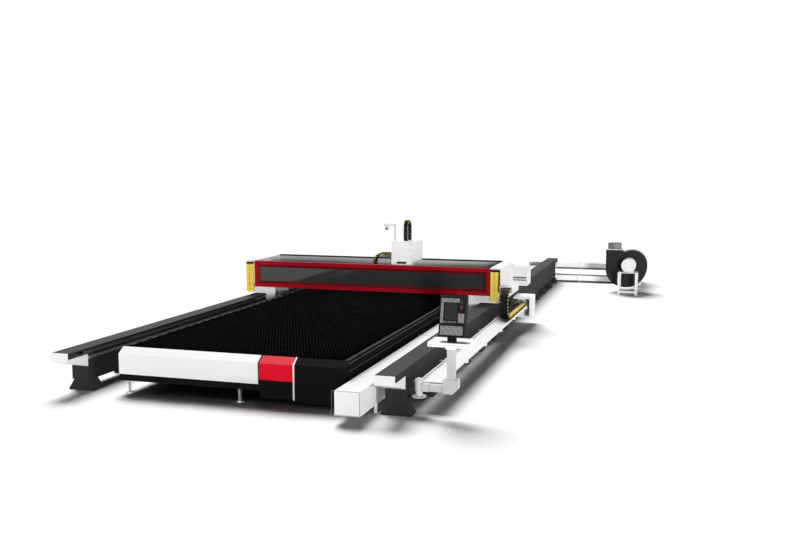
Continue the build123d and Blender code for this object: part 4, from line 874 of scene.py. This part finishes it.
@dataclass
class GantryTrim:
    """Small pieces on the gantry: lenses, edgings, lips, panels and louvres.

    The louvre's corners are depth behind the vent's face and height above its foot. A rib's foot
    and head are given at its root and at its face, the head as a drop from the shield's top.
    """

    post_x: float = 2.809
    post_half: float = 0.076
    cap: float = 0.045
    cap_edge: float = 0.004
    cap_rounds: int = 2
    lens: Round = Round(0.0085, 0.006, 10)
    lens_y: float = -1.697
    lens_z: Span = (0.83, 1.37)
    lens_count: int = 9
    post_plate: Slab = ((2.886, -1.648, 0.955), (2.923, -1.6405, 1.435))
    post_screw: Round = Round(0.0075, 0.006, 8)
    post_screw_foot: Corner = (2.9045, -1.650, 0.0)
    post_screw_z: tuple[float, ...] = (1.05, 1.20, 1.35)
    window_half: float = 2.601
    window_z: Span = (0.983, 1.35)
    lip: float = 0.028
    lip_face: float = -1.653
    lip_depth: float = 0.033
    lip_sheet: float = 0.002
    edging_gap: float = 0.0008
    edging_wall: float = 0.006
    edging_drop: float = 0.026
    rib_half: float = 0.012
    rib_depth: float = 0.006
    rib_foot: Span = (0.96, 1.0)
    rib_head: Span = (0.04, 0.06)
    rib_first: float = 0.3
    rib_pitch: float = 0.6
    rib_count: int = 9
    vent_x: Span = (2.964, 3.260)
    vent_z: Span = (1.065, 1.145)
    vent_face: float = -0.35
    vent_back: Span = (0.018, 0.024)
    louvre: tuple[Span, ...] = ((0.002, 0.0), (0.004, 0.010), (0.019, 0.020), (0.017, 0.010))
    louvre_z: Span = (0.018, 0.040)
    truck_x: float = 2.925
    panel_sheet: float = 0.004
    panel_y: Span = (-0.30, 0.56)
    panel_z: Span = (0.755, 0.925)
    panel_screw: Round = Round(0.010, 0.008, 8)
    panel_screw_y: Span = (-0.27, 0.53)
    panel_screw_z: Span = (0.78, 0.90)
    door_margin: float = 0.03
    door_z: Span = (0.985, 1.34)
    lock: Round = Round(0.014, 0.010, 10)
    lock_proud: float = 0.007
    lock_margin: float = 0.07
    lock_z: Span = (1.03, 1.30)
    shield_screw: Round = Round(0.009, 0.006, 8)
    shield_screw_y: float = -1.651
    shield_screw_rim: float = 0.068
    shield_screw_first: float = -2.43
    shield_screw_pitch: float = 0.54
    shield_screw_count: int = 10

    def build(self) -> None:
        """Model every piece."""
        self._lenses()
        self._window_lip()
        self._rear_edging()
        self._vent()
        self._panels()
        self._shield_screws()
        self._post_plate()
        self._caps()

    def _post_plate(self) -> None:
        """Stand the black plate with its screws beside the right post."""
        Bench.fit(Bench.block(*self.post_plate, PLATE_EDGE), "post_plate", CAP, "gantry")
        screw = Bench.drum(self.post_screw_foot, self.post_screw, Axis.Y)
        Bench.fit(Bench.stack(screw, self.post_screw_z), "post_screws", FOOT_STEEL, "gantry")

    def _caps(self) -> None:
        """Close each light curtain post with a dark cap above and a coloured foot below."""
        low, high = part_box("light_curtain_caps")
        ends = (
            (high[2] - self.cap, high[2], "curtain_top_caps", CAP),
            (low[2], low[2] + self.cap, "curtain_feet", YELLOW),
        )
        for bottom, top, name, finish in ends:
            corners = (-self.post_half, low[1], bottom), (self.post_half, high[1], top)
            cap = Bench.block(*corners, self.cap_edge, self.cap_rounds)
            caps = Bench.row(cap, [(side * self.post_x, 0.0, 0.0) for side in SIDES])
            Bench.fit(caps, name, finish, "gantry", "light_curtain_caps")

    def _lenses(self) -> None:
        """Set a column of lenses into each light curtain post."""
        low, high = self.lens_z
        step = (high - low) / (self.lens_count - 1)
        lens = Bench.drum((0.0, self.lens_y, low), self.lens, Axis.Y)
        steps = [(side * self.post_x, 0.0, i * step) for side in SIDES for i in range(self.lens_count)]
        Bench.fit(Bench.row(lens, steps), "curtain_lenses", CAP, "gantry")

    def _window_lip(self) -> None:
        """Frame the window with a lip that slopes back to the glass, darkened as painted shade."""
        low, high = self.window_z
        width, height = 2 * (self.window_half + self.lip), high - low + 2 * self.lip
        middle = (0.0, self.lip_face, (low + high) / 2)
        bpy.ops.object.select_all(action="DESELECT")
        bpy.ops.mesh.primitive_plane_add(size=1.0, location=middle, rotation=Axis.Y.value)
        bpy.ops.object.mode_set(mode="EDIT")
        bpy.ops.transform.resize(value=(width, 1.0, height))
        bpy.ops.mesh.inset(thickness=2 * self.lip)
        bpy.ops.transform.translate(value=(0.0, self.lip_depth, 0.0))
        bpy.ops.mesh.delete(type="FACE")
        lip = Bench.settle()
        skin = lip.modifiers.new("skin", "SOLIDIFY")
        skin.thickness = self.lip_sheet
        bpy.ops.object.modifier_apply(modifier=skin.name)
        Bench.fit(lip, "window_lip", CRIMSON_DEEP, "gantry")

    def _rear_edging(self) -> None:
        """Cap the rear shield with a black channel and stiffen it with ribs."""
        low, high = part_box("rear_shield")
        gap, wall = self.edging_gap, self.edging_wall
        front, back, top = low[1] - gap, high[1] + gap, high[2] + gap
        hem = top - self.edging_drop
        channel = [
            (front - wall, hem), (front - wall, top + wall), (back + wall, top + wall), (back + wall, hem),
            (back, hem), (back, top), (front, top), (front, hem),
        ]
        Bench.fit(Bench.pull_x(channel, low[0], high[0]), "rear_shield_edging", CAP, "gantry")
        face = front - self.rib_depth
        rib = [
            (face, self.rib_foot[1]), (front, self.rib_foot[0]),
            (front, top - self.rib_head[0]), (face, top - self.rib_head[1]),
        ]
        steps = [(low[0] + self.rib_first + self.rib_pitch * i, 0.0, 0.0) for i in range(self.rib_count)]
        ribs = Bench.row(Bench.pull_x(rib, -self.rib_half, self.rib_half), steps)
        Bench.fit(ribs, "rear_shield_ribs", GREY, "gantry")

    def _vent(self) -> None:
        """Fit the cabinet's vent with a dark back and slanted louvres."""
        (left, right), (low, high), face = self.vent_x, self.vent_z, self.vent_face
        near, far = (face + depth for depth in self.vent_back)
        Bench.fit(Bench.block((left, near, low), (right, far, high), PLATE_EDGE), "vent_back", CAP, "gantry")
        louvre = Bench.pull_x([(face + y, low + z) for y, z in self.louvre], left, right)
        Bench.fit(Bench.stack(louvre, self.louvre_z), "vent_louvres", GREY, "gantry")

    def _panels(self) -> None:
        """Screw access panels to the trucks and a door to the cabinet."""
        plates, screws = [], []
        (front, back), (bottom, top) = self.panel_y, self.panel_z
        for side in SIDES:
            left, right = Bench.mirror(side, self.truck_x, self.truck_x + self.panel_sheet)
            plates.append(Bench.block((left, front, bottom), (right, back, top), SHEET_EDGE))
            x = side * (self.truck_x + self.panel_screw.length / 2)
            for y in self.panel_screw_y:
                for z in self.panel_screw_z:
                    screws.append(Bench.drum((x, y, z), self.panel_screw, Axis.X))
        low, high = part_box("drive_cabinet")
        (bottom, top), margin = self.door_z, self.door_margin
        door = (high[0], low[1] + margin, bottom), (high[0] + self.panel_sheet, high[1] - margin, top)
        plates.append(Bench.block(*door, SHEET_EDGE))
        for z in self.lock_z:
            place = (high[0] + self.lock_proud, low[1] + self.lock_margin, z)
            screws.append(Bench.drum(place, self.lock, Axis.X))
        Bench.fit(Bench.join(plates), "access_panels", WHITE, "gantry")
        Bench.fit(Bench.join(screws), "panel_screws", FOOT_STEEL, "gantry")

    def _shield_screws(self) -> None:
        """Put flush screws along the shield's rim."""
        screw = Bench.drum((0.0, self.shield_screw_y, 0.0), self.shield_screw, Axis.Y)
        heights = self.window_z[0] - self.shield_screw_rim, self.window_z[1] + self.shield_screw_rim
        steps = [
            (self.shield_screw_first + self.shield_screw_pitch * i, 0.0, z)
            for i in range(self.shield_screw_count)
            for z in heights
        ]
        Bench.fit(Bench.row(screw, steps), "shield_screws", CRIMSON_DEEP, "gantry")


@dataclass
class HeadTrim:
    """Small pieces on the head: cover slot, screws, side plates, camera lens and clamp rings."""

    slot: Slab = ((0.572, -1.352, 1.462), (0.786, -1.346, 1.512))
    blade: Slab = ((0.582, -1.356, 0.0), (0.776, -1.351, 0.006))
    blade_z: Span = (1.475, 1.493)
    screw: Round = Round(0.009, 0.006, 10)
    front_screw: Corner = (0.893, -1.351, 0.0)
    front_screw_z: tuple[float, ...] = (1.633, 1.764, 1.895)
    side_screw: Corner = (0.911, 0.0, 0.0)
    side_screw_y: Span = (-1.28, -0.52)
    side_screw_z: Span = (1.56, 1.88)
    cover_sides: tuple[Span, Span] = ((0.446, 0.45), (0.91, 0.914))
    plate_y: Span = (-1.25, -0.55)
    plate_z: Span = (1.58, 1.86)
    bezel: Round = Round(0.040, 0.016, 24, 0.2)
    bezel_at: Corner = (0.326, -1.296, 2.228)
    lens: Round = Round(0.021, 0.006, 24, 0.5)
    lens_at: Corner = (0.326, -1.306, 2.228)
    ring: Round = Round(0.060, 0.014, 32, 0.03)
    ring_foot: Corner = (0.68, -1.27, 0.0)
    ring_z: tuple[float, ...] = (1.04, 1.10, 1.29)

    def build(self) -> None:
        """Model every piece."""
        self._slot()
        self._screws()
        self._plates()
        self._rounds()

    def _slot(self) -> None:
        """Put a dark slot with two bars into the cover's front."""
        Bench.fit(Bench.block(*self.slot, SHEET_EDGE), "cover_slot", CAP, "carriage")
        bars = Bench.stack(Bench.block(*self.blade, FINE_EDGE), self.blade_z)
        Bench.fit(bars, "cover_slot_bars", MOTOR, "carriage")

    def _screws(self) -> None:
        """Put screws into the cover's front and right side."""
        front = Bench.stack(Bench.drum(self.front_screw, self.screw, Axis.Y), self.front_screw_z)
        steps = [(0.0, y, z) for y in self.side_screw_y for z in self.side_screw_z]
        side = Bench.row(Bench.drum(self.side_screw, self.screw, Axis.X), steps)
        Bench.fit(Bench.join([front, side]), "cover_screws", MOTOR, "carriage")

    def _plates(self) -> None:
        """Lay a plate on each side of the cover."""
        (front, back), (low, high) = self.plate_y, self.plate_z
        plates = [
            Bench.block((left, front, low), (right, back, high), SHEET_EDGE)
            for left, right in self.cover_sides
        ]
        Bench.fit(Bench.join(plates), "cover_side_plates", PAINTED_LIGHT_WHITE, "carriage")

    def _rounds(self) -> None:
        """Add the camera's bezel and lens and the clamp rings on the cutting head."""
        Bench.fit(Bench.drum(self.bezel_at, self.bezel, Axis.Y), "camera_bezel", GREY, "carriage")
        Bench.fit(Bench.drum(self.lens_at, self.lens, Axis.Y), "camera_lens", SCREEN, "carriage")
        rings = Bench.stack(Bench.drum(self.ring_foot, self.ring, Axis.Z), self.ring_z)
        Bench.fit(rings, "barrel_rings", FOOT_STEEL, "cutter")


@dataclass(frozen=True)
class KeyGrid:
    """Keys in columns and rows on the monitor's face, in millimetres from the middle of its foot."""

    x: int
    y: int
    step_x: int
    step_y: int
    columns: int
    rows: int

    def places(self) -> list[tuple[int, int]]:
        """Return the middle of each key, column by column."""
        return [
            (self.x + self.step_x * i, self.y + self.step_y * j)
            for i in range(self.columns)
            for j in range(self.rows)
        ]


@dataclass
class ConsoleTrim:
    """Keys, slots and fields on the monitor's leaning face, tray plugs, and rings on the arm.

    Spans and keys on the face are in millimetres: left, right, low and high edge.
    """

    foot: Corner = (3.456, -8.070, 1.200)
    lean_deg: float = 13.0
    plate_root: float = 0.002
    plate_edge: float = 0.0012
    dark_spans: tuple[Edges, ...] = (
        (-127, 80, 470, 480), (-127, 80, 222, 232), (-127, -115, 232, 470), (68, 80, 232, 470),
        (-75, 121, 545, 562), (84, 172, 338, 373), (52, 155, 151, 187),
    )
    dark_proud: float = 4.0
    light_spans: tuple[Edges, ...] = (
        (-174, 96, 484, 540), (84, 172, 197, 328), (-172, -134, 190, 475), (-166, 160, 20, 146),
    )
    light_proud: float = 2.0
    key_span: Edges = (-9, 9, -9, 9)
    key_proud: float = 8.0
    key_grids: tuple[KeyGrid, ...] = (
        KeyGrid(-152, 36, 28, 30, 12, 4),
        KeyGrid(-153, 210, 0, 30, 1, 9),
        KeyGrid(-112, 204, 26, 0, 7, 1),
        KeyGrid(98, 214, 30, 30, 3, 4),
        KeyGrid(-160, 498, 28, 26, 9, 2),
    )
    pale_every: int = 3
    plug: Round = Round(0.0066, 0.008, 10)
    plug_at: Corner = (3.456, -8.225, 1.10)
    plug_pitch: float = 0.0674
    plugs_a_side: int = 4
    bar: Slab = ((3.030, -8.080, 0.386), (3.346, -7.980, 0.485))
    collar_end: float = 3.135
    collar_proud: float = 0.006
    seam_width: float = 0.008
    seam_proud: float = 0.0015

    def build(self) -> None:
        """Model every piece."""
        self._field(self.dark_spans, self.dark_proud, "face_slots", MONITOR)
        self._field(self.light_spans, self.light_proud, "face_fields", FIELD)
        self._keys()
        self._plugs()
        self._collar()

    def _collar(self) -> None:
        """Clamp a collar round the arm's bar beside the sleeve and run a seam at each end of the bar."""
        start, end = self.bar[0][0], self.bar[1][0]
        collar = self._ring(start, self.collar_end, self.collar_proud)
        Bench.fit(collar, "arm_collar", PAINTED_SHADE_ARM_WHITE, "arm")
        seams = [
            self._ring(place, place + self.seam_width, self.seam_proud)
            for place in (self.collar_end, end - self.seam_width)
        ]
        Bench.fit(Bench.join(seams), "arm_seams", MOTOR, "arm")

    def _ring(self, start: float, end: float, proud: float) -> Piece:
        """Model a ring round the arm's bar.

        Args:
            start: where it begins along X.
            end: where it ends along X.
            proud: how far it stands out from the bar.

        Returns:
            The ring.
        """
        (_, front, bottom), (_, back, top) = self.bar
        low = start, front - proud, bottom - proud
        high = end, back + proud, top + proud
        return Bench.block(low, high, proud / 2)

    def _plugs(self) -> None:
        """Set a dark plug into each hole along the tray's front."""
        plug = Bench.drum(self.plug_at, self.plug, Axis.Y)
        places = range(-self.plugs_a_side, self.plugs_a_side + 1)
        plugs = Bench.row(plug, [(i * self.plug_pitch, 0.0, 0.0) for i in places])
        Bench.fit(plugs, "tray_plugs", CAP, "console")

    def _lean(self) -> Matrix:
        """Return the move from the face's own plane to its place."""
        upright = Matrix.Rotation(math.radians(90.0 - self.lean_deg), 4, "X")
        return Matrix.Translation(self.foot) @ upright

    def _plate(self, span: Edges, proud: float) -> Piece:
        """Model a raised plate in the face's own plane.

        Args:
            span: left, right, low and high edge in millimetres.
            proud: how far it stands out, in millimetres.

        Returns:
            The plate.
        """
        left, right, low, high = (edge * MM for edge in span)
        corners = (left, low, -self.plate_root), (right, high, proud * MM)
        return Bench.block(*corners, min(self.plate_edge, proud * MM / 2))

    def _field(self, spans: tuple[Edges, ...], proud: float, name: str, finish: Finish) -> None:
        """Lay plates of one finish.

        Args:
            spans: left, right, low and high edge of each plate.
            proud: how far they stand out, in millimetres.
            name: the piece's name.
            finish: its material.
        """
        plates = [self._plate(span, proud) for span in spans]
        joined = Bench.join(Bench.spread(Bench.join(plates), [self._lean()]))
        Bench.fit(joined, name, finish, "console")

    def _keys(self) -> None:
        """Set the keys in rows, every third one pale."""
        places = [place for grid in self.key_grids for place in grid.places()]
        pale = [place for i, place in enumerate(places) if i % self.pale_every == 0]
        dark = [place for i, place in enumerate(places) if i % self.pale_every]
        for group, name, finish in ((pale, "pale_keys", FIELD), (dark, "dark_keys", MOTOR)):
            key = self._plate(self.key_span, self.key_proud)
            moves = [self._lean() @ Matrix.Translation((x * MM, y * MM, 0.0)) for x, y in group]
            Bench.fit(Bench.join(Bench.spread(key, moves)), name, finish, "console")


@dataclass
class RailTrim:
    """Seams and bolts of the rails and the trough.

    Bolt runs are the first place along the rail and the number of bolts.
    """

    inner: float = 2.499
    outer: float = 2.804
    top: float = 0.70
    reach: float = 8.40
    groove_z: Span = (0.641, 0.651)
    groove_sink: float = 0.001
    groove_proud: float = 0.0012
    groove_edge: float = 0.0008
    strap_margin: float = 0.004
    strap_half: float = 0.02
    strap_sink: float = 0.001
    strap_proud: float = 0.003
    strap_y: tuple[float, ...] = (-6.0, -3.6, 2.4, 4.8, 7.2)
    bolt: Round = Round(0.017, 0.012, 6, 0.2)
    bolt_proud: float = 0.002
    bolt_pitch: float = 0.46
    bolt_z: Span = (0.27, 0.52)
    left_runs: tuple[tuple[float, int], ...] = ((1.75, 14), (-7.9, 20))
    right_runs: tuple[tuple[float, int], ...] = ((1.75, 14),)
    splice_half: float = 0.05
    splice_margin: float = 0.006
    splice_sheet: float = 0.004
    splice_y: tuple[float, ...] = (-6.2, -4.6, -3.0, -1.4)

    def build(self) -> None:
        """Model every piece."""
        self._seams()
        self._grooves()
        self._bolts()
        self._splices()

    def _grooves(self) -> None:
        """Draw a dark joint along the outer side of both rail covers."""
        strips = []
        bottom, top = self.groove_z
        for side in SIDES:
            left, right = Bench.mirror(side, self.outer - self.groove_sink, self.outer + self.groove_proud)
            corners = (left, -self.reach, bottom), (right, self.reach, top)
            strips.append(Bench.block(*corners, self.groove_edge))
        Bench.fit(Bench.join(strips), "cover_grooves", CAP, "base")

    def _seams(self) -> None:
        """Lay cover straps over the joints of the rail covers."""
        straps = []
        low, high = self.top - self.strap_sink, self.top + self.strap_proud
        for side in SIDES:
            left, right = Bench.mirror(side, self.inner + self.strap_margin, self.outer - self.strap_margin)
            strap = Bench.block((left, -self.strap_half, low), (right, self.strap_half, high), SHEET_EDGE)
            straps.append(Bench.rank(strap, self.strap_y))
        Bench.fit(Bench.join(straps), "cover_straps", CHARCOAL, "base")

    def _bolts(self) -> None:
        """Bolt the rails along their outer sides."""
        bolts = []
        for side, runs in zip(SIDES, (self.left_runs, self.right_runs)):
            bolt = Bench.drum((side * (self.outer + self.bolt_proud), 0.0, 0.0), self.bolt, Axis.X)
            steps = [
                (0.0, first + self.bolt_pitch * i, z)
                for first, count in runs
                for i in range(count)
                for z in self.bolt_z
            ]
            bolts.append(Bench.row(bolt, steps))
        Bench.fit(Bench.join(bolts), "rail_bolts", CAP, "base")

    def _splices(self) -> None:
        """Join the trough's lengths with splice plates on its outer wall."""
        low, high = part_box("cable_trough")
        start = high[0], -self.splice_half, low[2] + self.splice_margin
        end = high[0] + self.splice_sheet, self.splice_half, high[2] - self.splice_margin
        plates = Bench.rank(Bench.block(start, end, FINE_EDGE), self.splice_y)
        Bench.fit(plates, "trough_splices", WHITE, "base")


@dataclass
class ExtractionTrim:
    """Seams, bolts and fins of the ducts and the fan.

    A cross edge is the face's place along Y and the strip's low and high edge. The fin's profile
    is run-in from the motor's front end, run-in from its rear end and height above the shell.
    """

    duct_x: Span = (1.93, 2.346)
    duct_z: Span = (0.14, 0.488)
    seam_line: float = 0.006
    seam_sink: float = 0.001
    seam_proud: float = 0.0015
    seam_edge: float = 0.0005
    cross_x: Span = (2.402, 4.878)
    # Dark strips along the cross ducts: partly joints, partly painted shade under their edges.
    cross_edges: tuple[Corner, ...] = ((8.75, 0.355, 0.412), (8.27, 0.210, 0.251), (8.27, 0.030, 0.056))
    cross_sink: float = 0.001
    cross_proud: float = 0.003
    band_gap: float = 0.0005
    band_wall: float = 0.003
    band_half: float = 0.02
    band_y: tuple[float, ...] = (-4.4, -1.1, 2.2, 5.5)
    fan_x: float = 5.13
    fan_z: float = 0.82
    bolt: Round = Round(0.013, 0.012, 6, 0.2)
    bolt_y: float = 6.246
    bolt_ring: float = 0.235
    bolt_count: int = 10
    fin_root: float = 0.189
    fin_half: float = 0.003
    fin_height: float = 0.012
    fin_front: Span = (0.10, 0.11)
    fin_rear: Span = (0.12, 0.13)
    fin_count: int = 28

    def build(self) -> None:
        """Model every piece."""
        self._bands()
        self._nose_seam()
        self._cross_joints_and_shade()
        self._fan_bolts()
        self._motor_fins()

    def _nose_seam(self) -> None:
        """Run a thin dark seam round the side duct's closed end."""
        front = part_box("side_duct")[0][1]
        (left, right), (low, high), line = self.duct_x, self.duct_z, self.seam_line
        spans = [
            ((left, high - line), (right, high)),
            ((left, low), (right, low + line)),
            ((left, low + line), (left + line, high - line)),
            ((right - line, low + line), (right, high - line)),
        ]
        near, far = front - self.seam_proud, front + self.seam_sink
        strips = [Bench.block((x0, near, z0), (x1, far, z1), self.seam_edge) for (x0, z0), (x1, z1) in spans]
        Bench.fit(Bench.join(strips), "duct_nose_seam", MOTOR, "base")

    def _cross_joints_and_shade(self) -> None:
        """Run dark strips along the edges of the two cross ducts: partly their joints, partly painted shade
        under their edges.
        """
        strips = []
        left, right = self.cross_x
        for face, low, high in self.cross_edges:
            corners = (left, face - self.cross_proud, low), (right, face + self.cross_sink, high)
            strips.append(Bench.block(*corners, FINE_EDGE))
        Bench.fit(Bench.join(strips), "cross_duct_angles", MOTOR, "base")

    def _bands(self) -> None:
        """Fold slip bands over the side duct's joints."""
        (left, right), (low, high), wall = self.duct_x, self.duct_z, self.band_wall
        top, side = high + self.band_gap, right + self.band_gap
        fold = [
            (left, top), (left, top + wall), (side + wall, top + wall),
            (side + wall, low), (side, low), (side, top),
        ]
        bands = Bench.rank(Bench.pull_y(fold, -self.band_half, self.band_half), self.band_y)
        Bench.fit(bands, "duct_bands", WHITE, "base")

    def _fan_bolts(self) -> None:
        """Bolt the motor plate to the fan's face in a ring."""
        bolt = Bench.drum((0.0, self.bolt_y, 0.0), self.bolt, Axis.Y)
        steps = []
        for i in range(self.bolt_count):
            angle = math.tau * i / self.bolt_count
            across, up = self.bolt_ring * math.cos(angle), self.bolt_ring * math.sin(angle)
            steps.append((self.fan_x + across, 0.0, self.fan_z + up))
        Bench.fit(Bench.row(bolt, steps), "fan_bolts", CAP, "base")

    def _motor_fins(self) -> None:
        """Stand cooling fins round the motor's shell."""
        low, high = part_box("fan_motor")
        root, crown = self.fin_root, self.fin_root + self.fin_height
        fin = [
            (low[1] + self.fin_front[0], root), (low[1] + self.fin_front[1], crown),
            (high[1] - self.fin_rear[1], crown), (high[1] - self.fin_rear[0], root),
        ]
        pattern = Bench.pull_x(fin, -self.fin_half, self.fin_half)
        middle = Matrix.Translation((self.fan_x, 0.0, self.fan_z))
        turn = math.tau / self.fin_count
        moves = [middle @ Matrix.Rotation(turn * i, 4, "Y") for i in range(self.fin_count)]
        Bench.fit(Bench.join(Bench.spread(pattern, moves)), "motor_fins", WHITE, "base")


@dataclass
class Studio:
    """Floor, light and camera."""

    camera_place: Corner = (6.511, -20.497, 3.584)
    camera_pitch: float = math.pi / 2 - 0.11172
    camera_heading: float = 0.29727
    lens_mm: float = 41.387
    sensor_mm: float = 36.0
    view_depth: float = 2000.0
    floor_half: float = 400.0
    floor_tone: float = 0.94
    floor_roughness: float = 0.9
    dome_strength: float = 0.02
    key_strength: float = 4.3
    key_spread_deg: float = 36.0
    key_turn_deg: Corner = (35.4, 0.0, -147.7)
    front_strength: float = 1.8
    front_turn_deg: Corner = (86.4, 0.0, 17.5)
    right_strength: float = 1.55
    right_turn_deg: Corner = (86.4, 0.0, 72.5)
    fill_spread_deg: float = 6.0

    def build(self) -> None:
        """Make the floor, the dome, the lamps and the camera."""
        floor = self._floor()
        self._dome()
        self._lamp("studio_key", self.key_strength, self.key_spread_deg, self.key_turn_deg)
        front = self._lamp("studio_front", self.front_strength, self.fill_spread_deg, self.front_turn_deg)
        right = self._lamp("studio_right", self.right_strength, self.fill_spread_deg, self.right_turn_deg)
        for fill in (front, right):
            self._flag(fill, floor)
        self._camera()

    @staticmethod
    def _flag(lamp: Piece, floor: Piece) -> None:
        """Keep a low lamp's light off the floor, so that it fills no shadow there.

        Args:
            lamp: the low lamp.
            floor: the floor.
        """
        flagged = bpy.data.collections.new(f"{lamp.name}_flag")
        flagged.objects.link(floor)
        flagged.collection_objects[0].light_linking.link_state = "EXCLUDE"
        lamp.light_linking.receiver_collection = flagged

    def _floor(self) -> Piece:
        """Lay the white floor.

        Returns:
            The floor.
        """
        bpy.ops.object.select_all(action="DESELECT")
        bpy.ops.mesh.primitive_plane_add(size=2 * self.floor_half)
        floor = bpy.context.object
        floor.name = "studio_floor"
        made = bpy.data.materials.new("floor_white")
        made.use_nodes = True
        shader = made.node_tree.nodes["Principled BSDF"]
        shader.inputs["Base Color"].default_value = (self.floor_tone, self.floor_tone, self.floor_tone, 1.0)
        shader.inputs["Roughness"].default_value = self.floor_roughness
        shader.inputs["Specular IOR Level"].default_value = 0.0
        floor.data.materials.append(made)
        return floor

    def _dome(self) -> None:
        """Set the world: soft fill for the object, plain white where it is seen or mirrored."""
        world = bpy.data.worlds.new("studio_dome")
        bpy.context.scene.world = world
        world.use_nodes = True
        nodes, links = world.node_tree.nodes, world.node_tree.links
        background = nodes["Background"]
        background.inputs["Color"].default_value = (1.0, 1.0, 1.0, 1.0)
        path = nodes.new("ShaderNodeLightPath")
        seen, clear = nodes.new("ShaderNodeMath"), nodes.new("ShaderNodeMath")
        for node in (seen, clear):
            node.operation = "ADD"
            node.use_clamp = True
        links.new(path.outputs["Is Glossy Ray"], clear.inputs[0])
        links.new(path.outputs["Is Transmission Ray"], clear.inputs[1])
        links.new(path.outputs["Is Camera Ray"], seen.inputs[0])
        links.new(clear.outputs["Value"], seen.inputs[1])
        strength = nodes.new("ShaderNodeMapRange")
        strength.inputs["To Min"].default_value = self.dome_strength
        strength.inputs["To Max"].default_value = 1.0
        links.new(seen.outputs["Value"], strength.inputs["Value"])
        links.new(strength.outputs["Result"], background.inputs["Strength"])

    @staticmethod
    def _lamp(name: str, strength: float, spread_deg: float, turn_deg: Corner) -> Piece:
        """Hang a broad soft light.

        Args:
            name: what the lamp is called.
            strength: its power.
            spread_deg: how wide it looks from the floor.
            turn_deg: its turn from pointing straight down.

        Returns:
            The lamp.
        """
        light = bpy.data.lights.new(name, "SUN")
        light.energy = strength
        light.angle = math.radians(spread_deg)
        lamp = bpy.data.objects.new(name, light)
        lamp.rotation_euler = [math.radians(turn) for turn in turn_deg]
        bpy.context.scene.collection.objects.link(lamp)
        return lamp

    def _camera(self) -> None:
        """Stand the camera at the photograph's viewing angle."""
        data = bpy.data.cameras.new("studio_camera")
        data.lens = self.lens_mm
        data.sensor_width = self.sensor_mm
        data.clip_end = self.view_depth
        camera = bpy.data.objects.new("studio_camera", data)
        camera.location = self.camera_place
        camera.rotation_euler = (self.camera_pitch, 0.0, self.camera_heading)
        bpy.context.scene.collection.objects.link(camera)
        bpy.context.scene.camera = camera


def main() -> None:
    """Dress the machine and set the studio."""
    logging.basicConfig(level=logging.INFO)
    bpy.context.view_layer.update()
    bpy.context.scene.view_settings.view_transform = "Standard"
    Solids().dress()
    for assembly in (
        CuttingBed(), EnergyChains(), GantryTrim(), HeadTrim(), ConsoleTrim(), RailTrim(), ExtractionTrim()
    ):
        LOG.info("building %s", type(assembly).__name__)
        assembly.build()
    Studio().build()


if __name__ == "__main__":
    main()
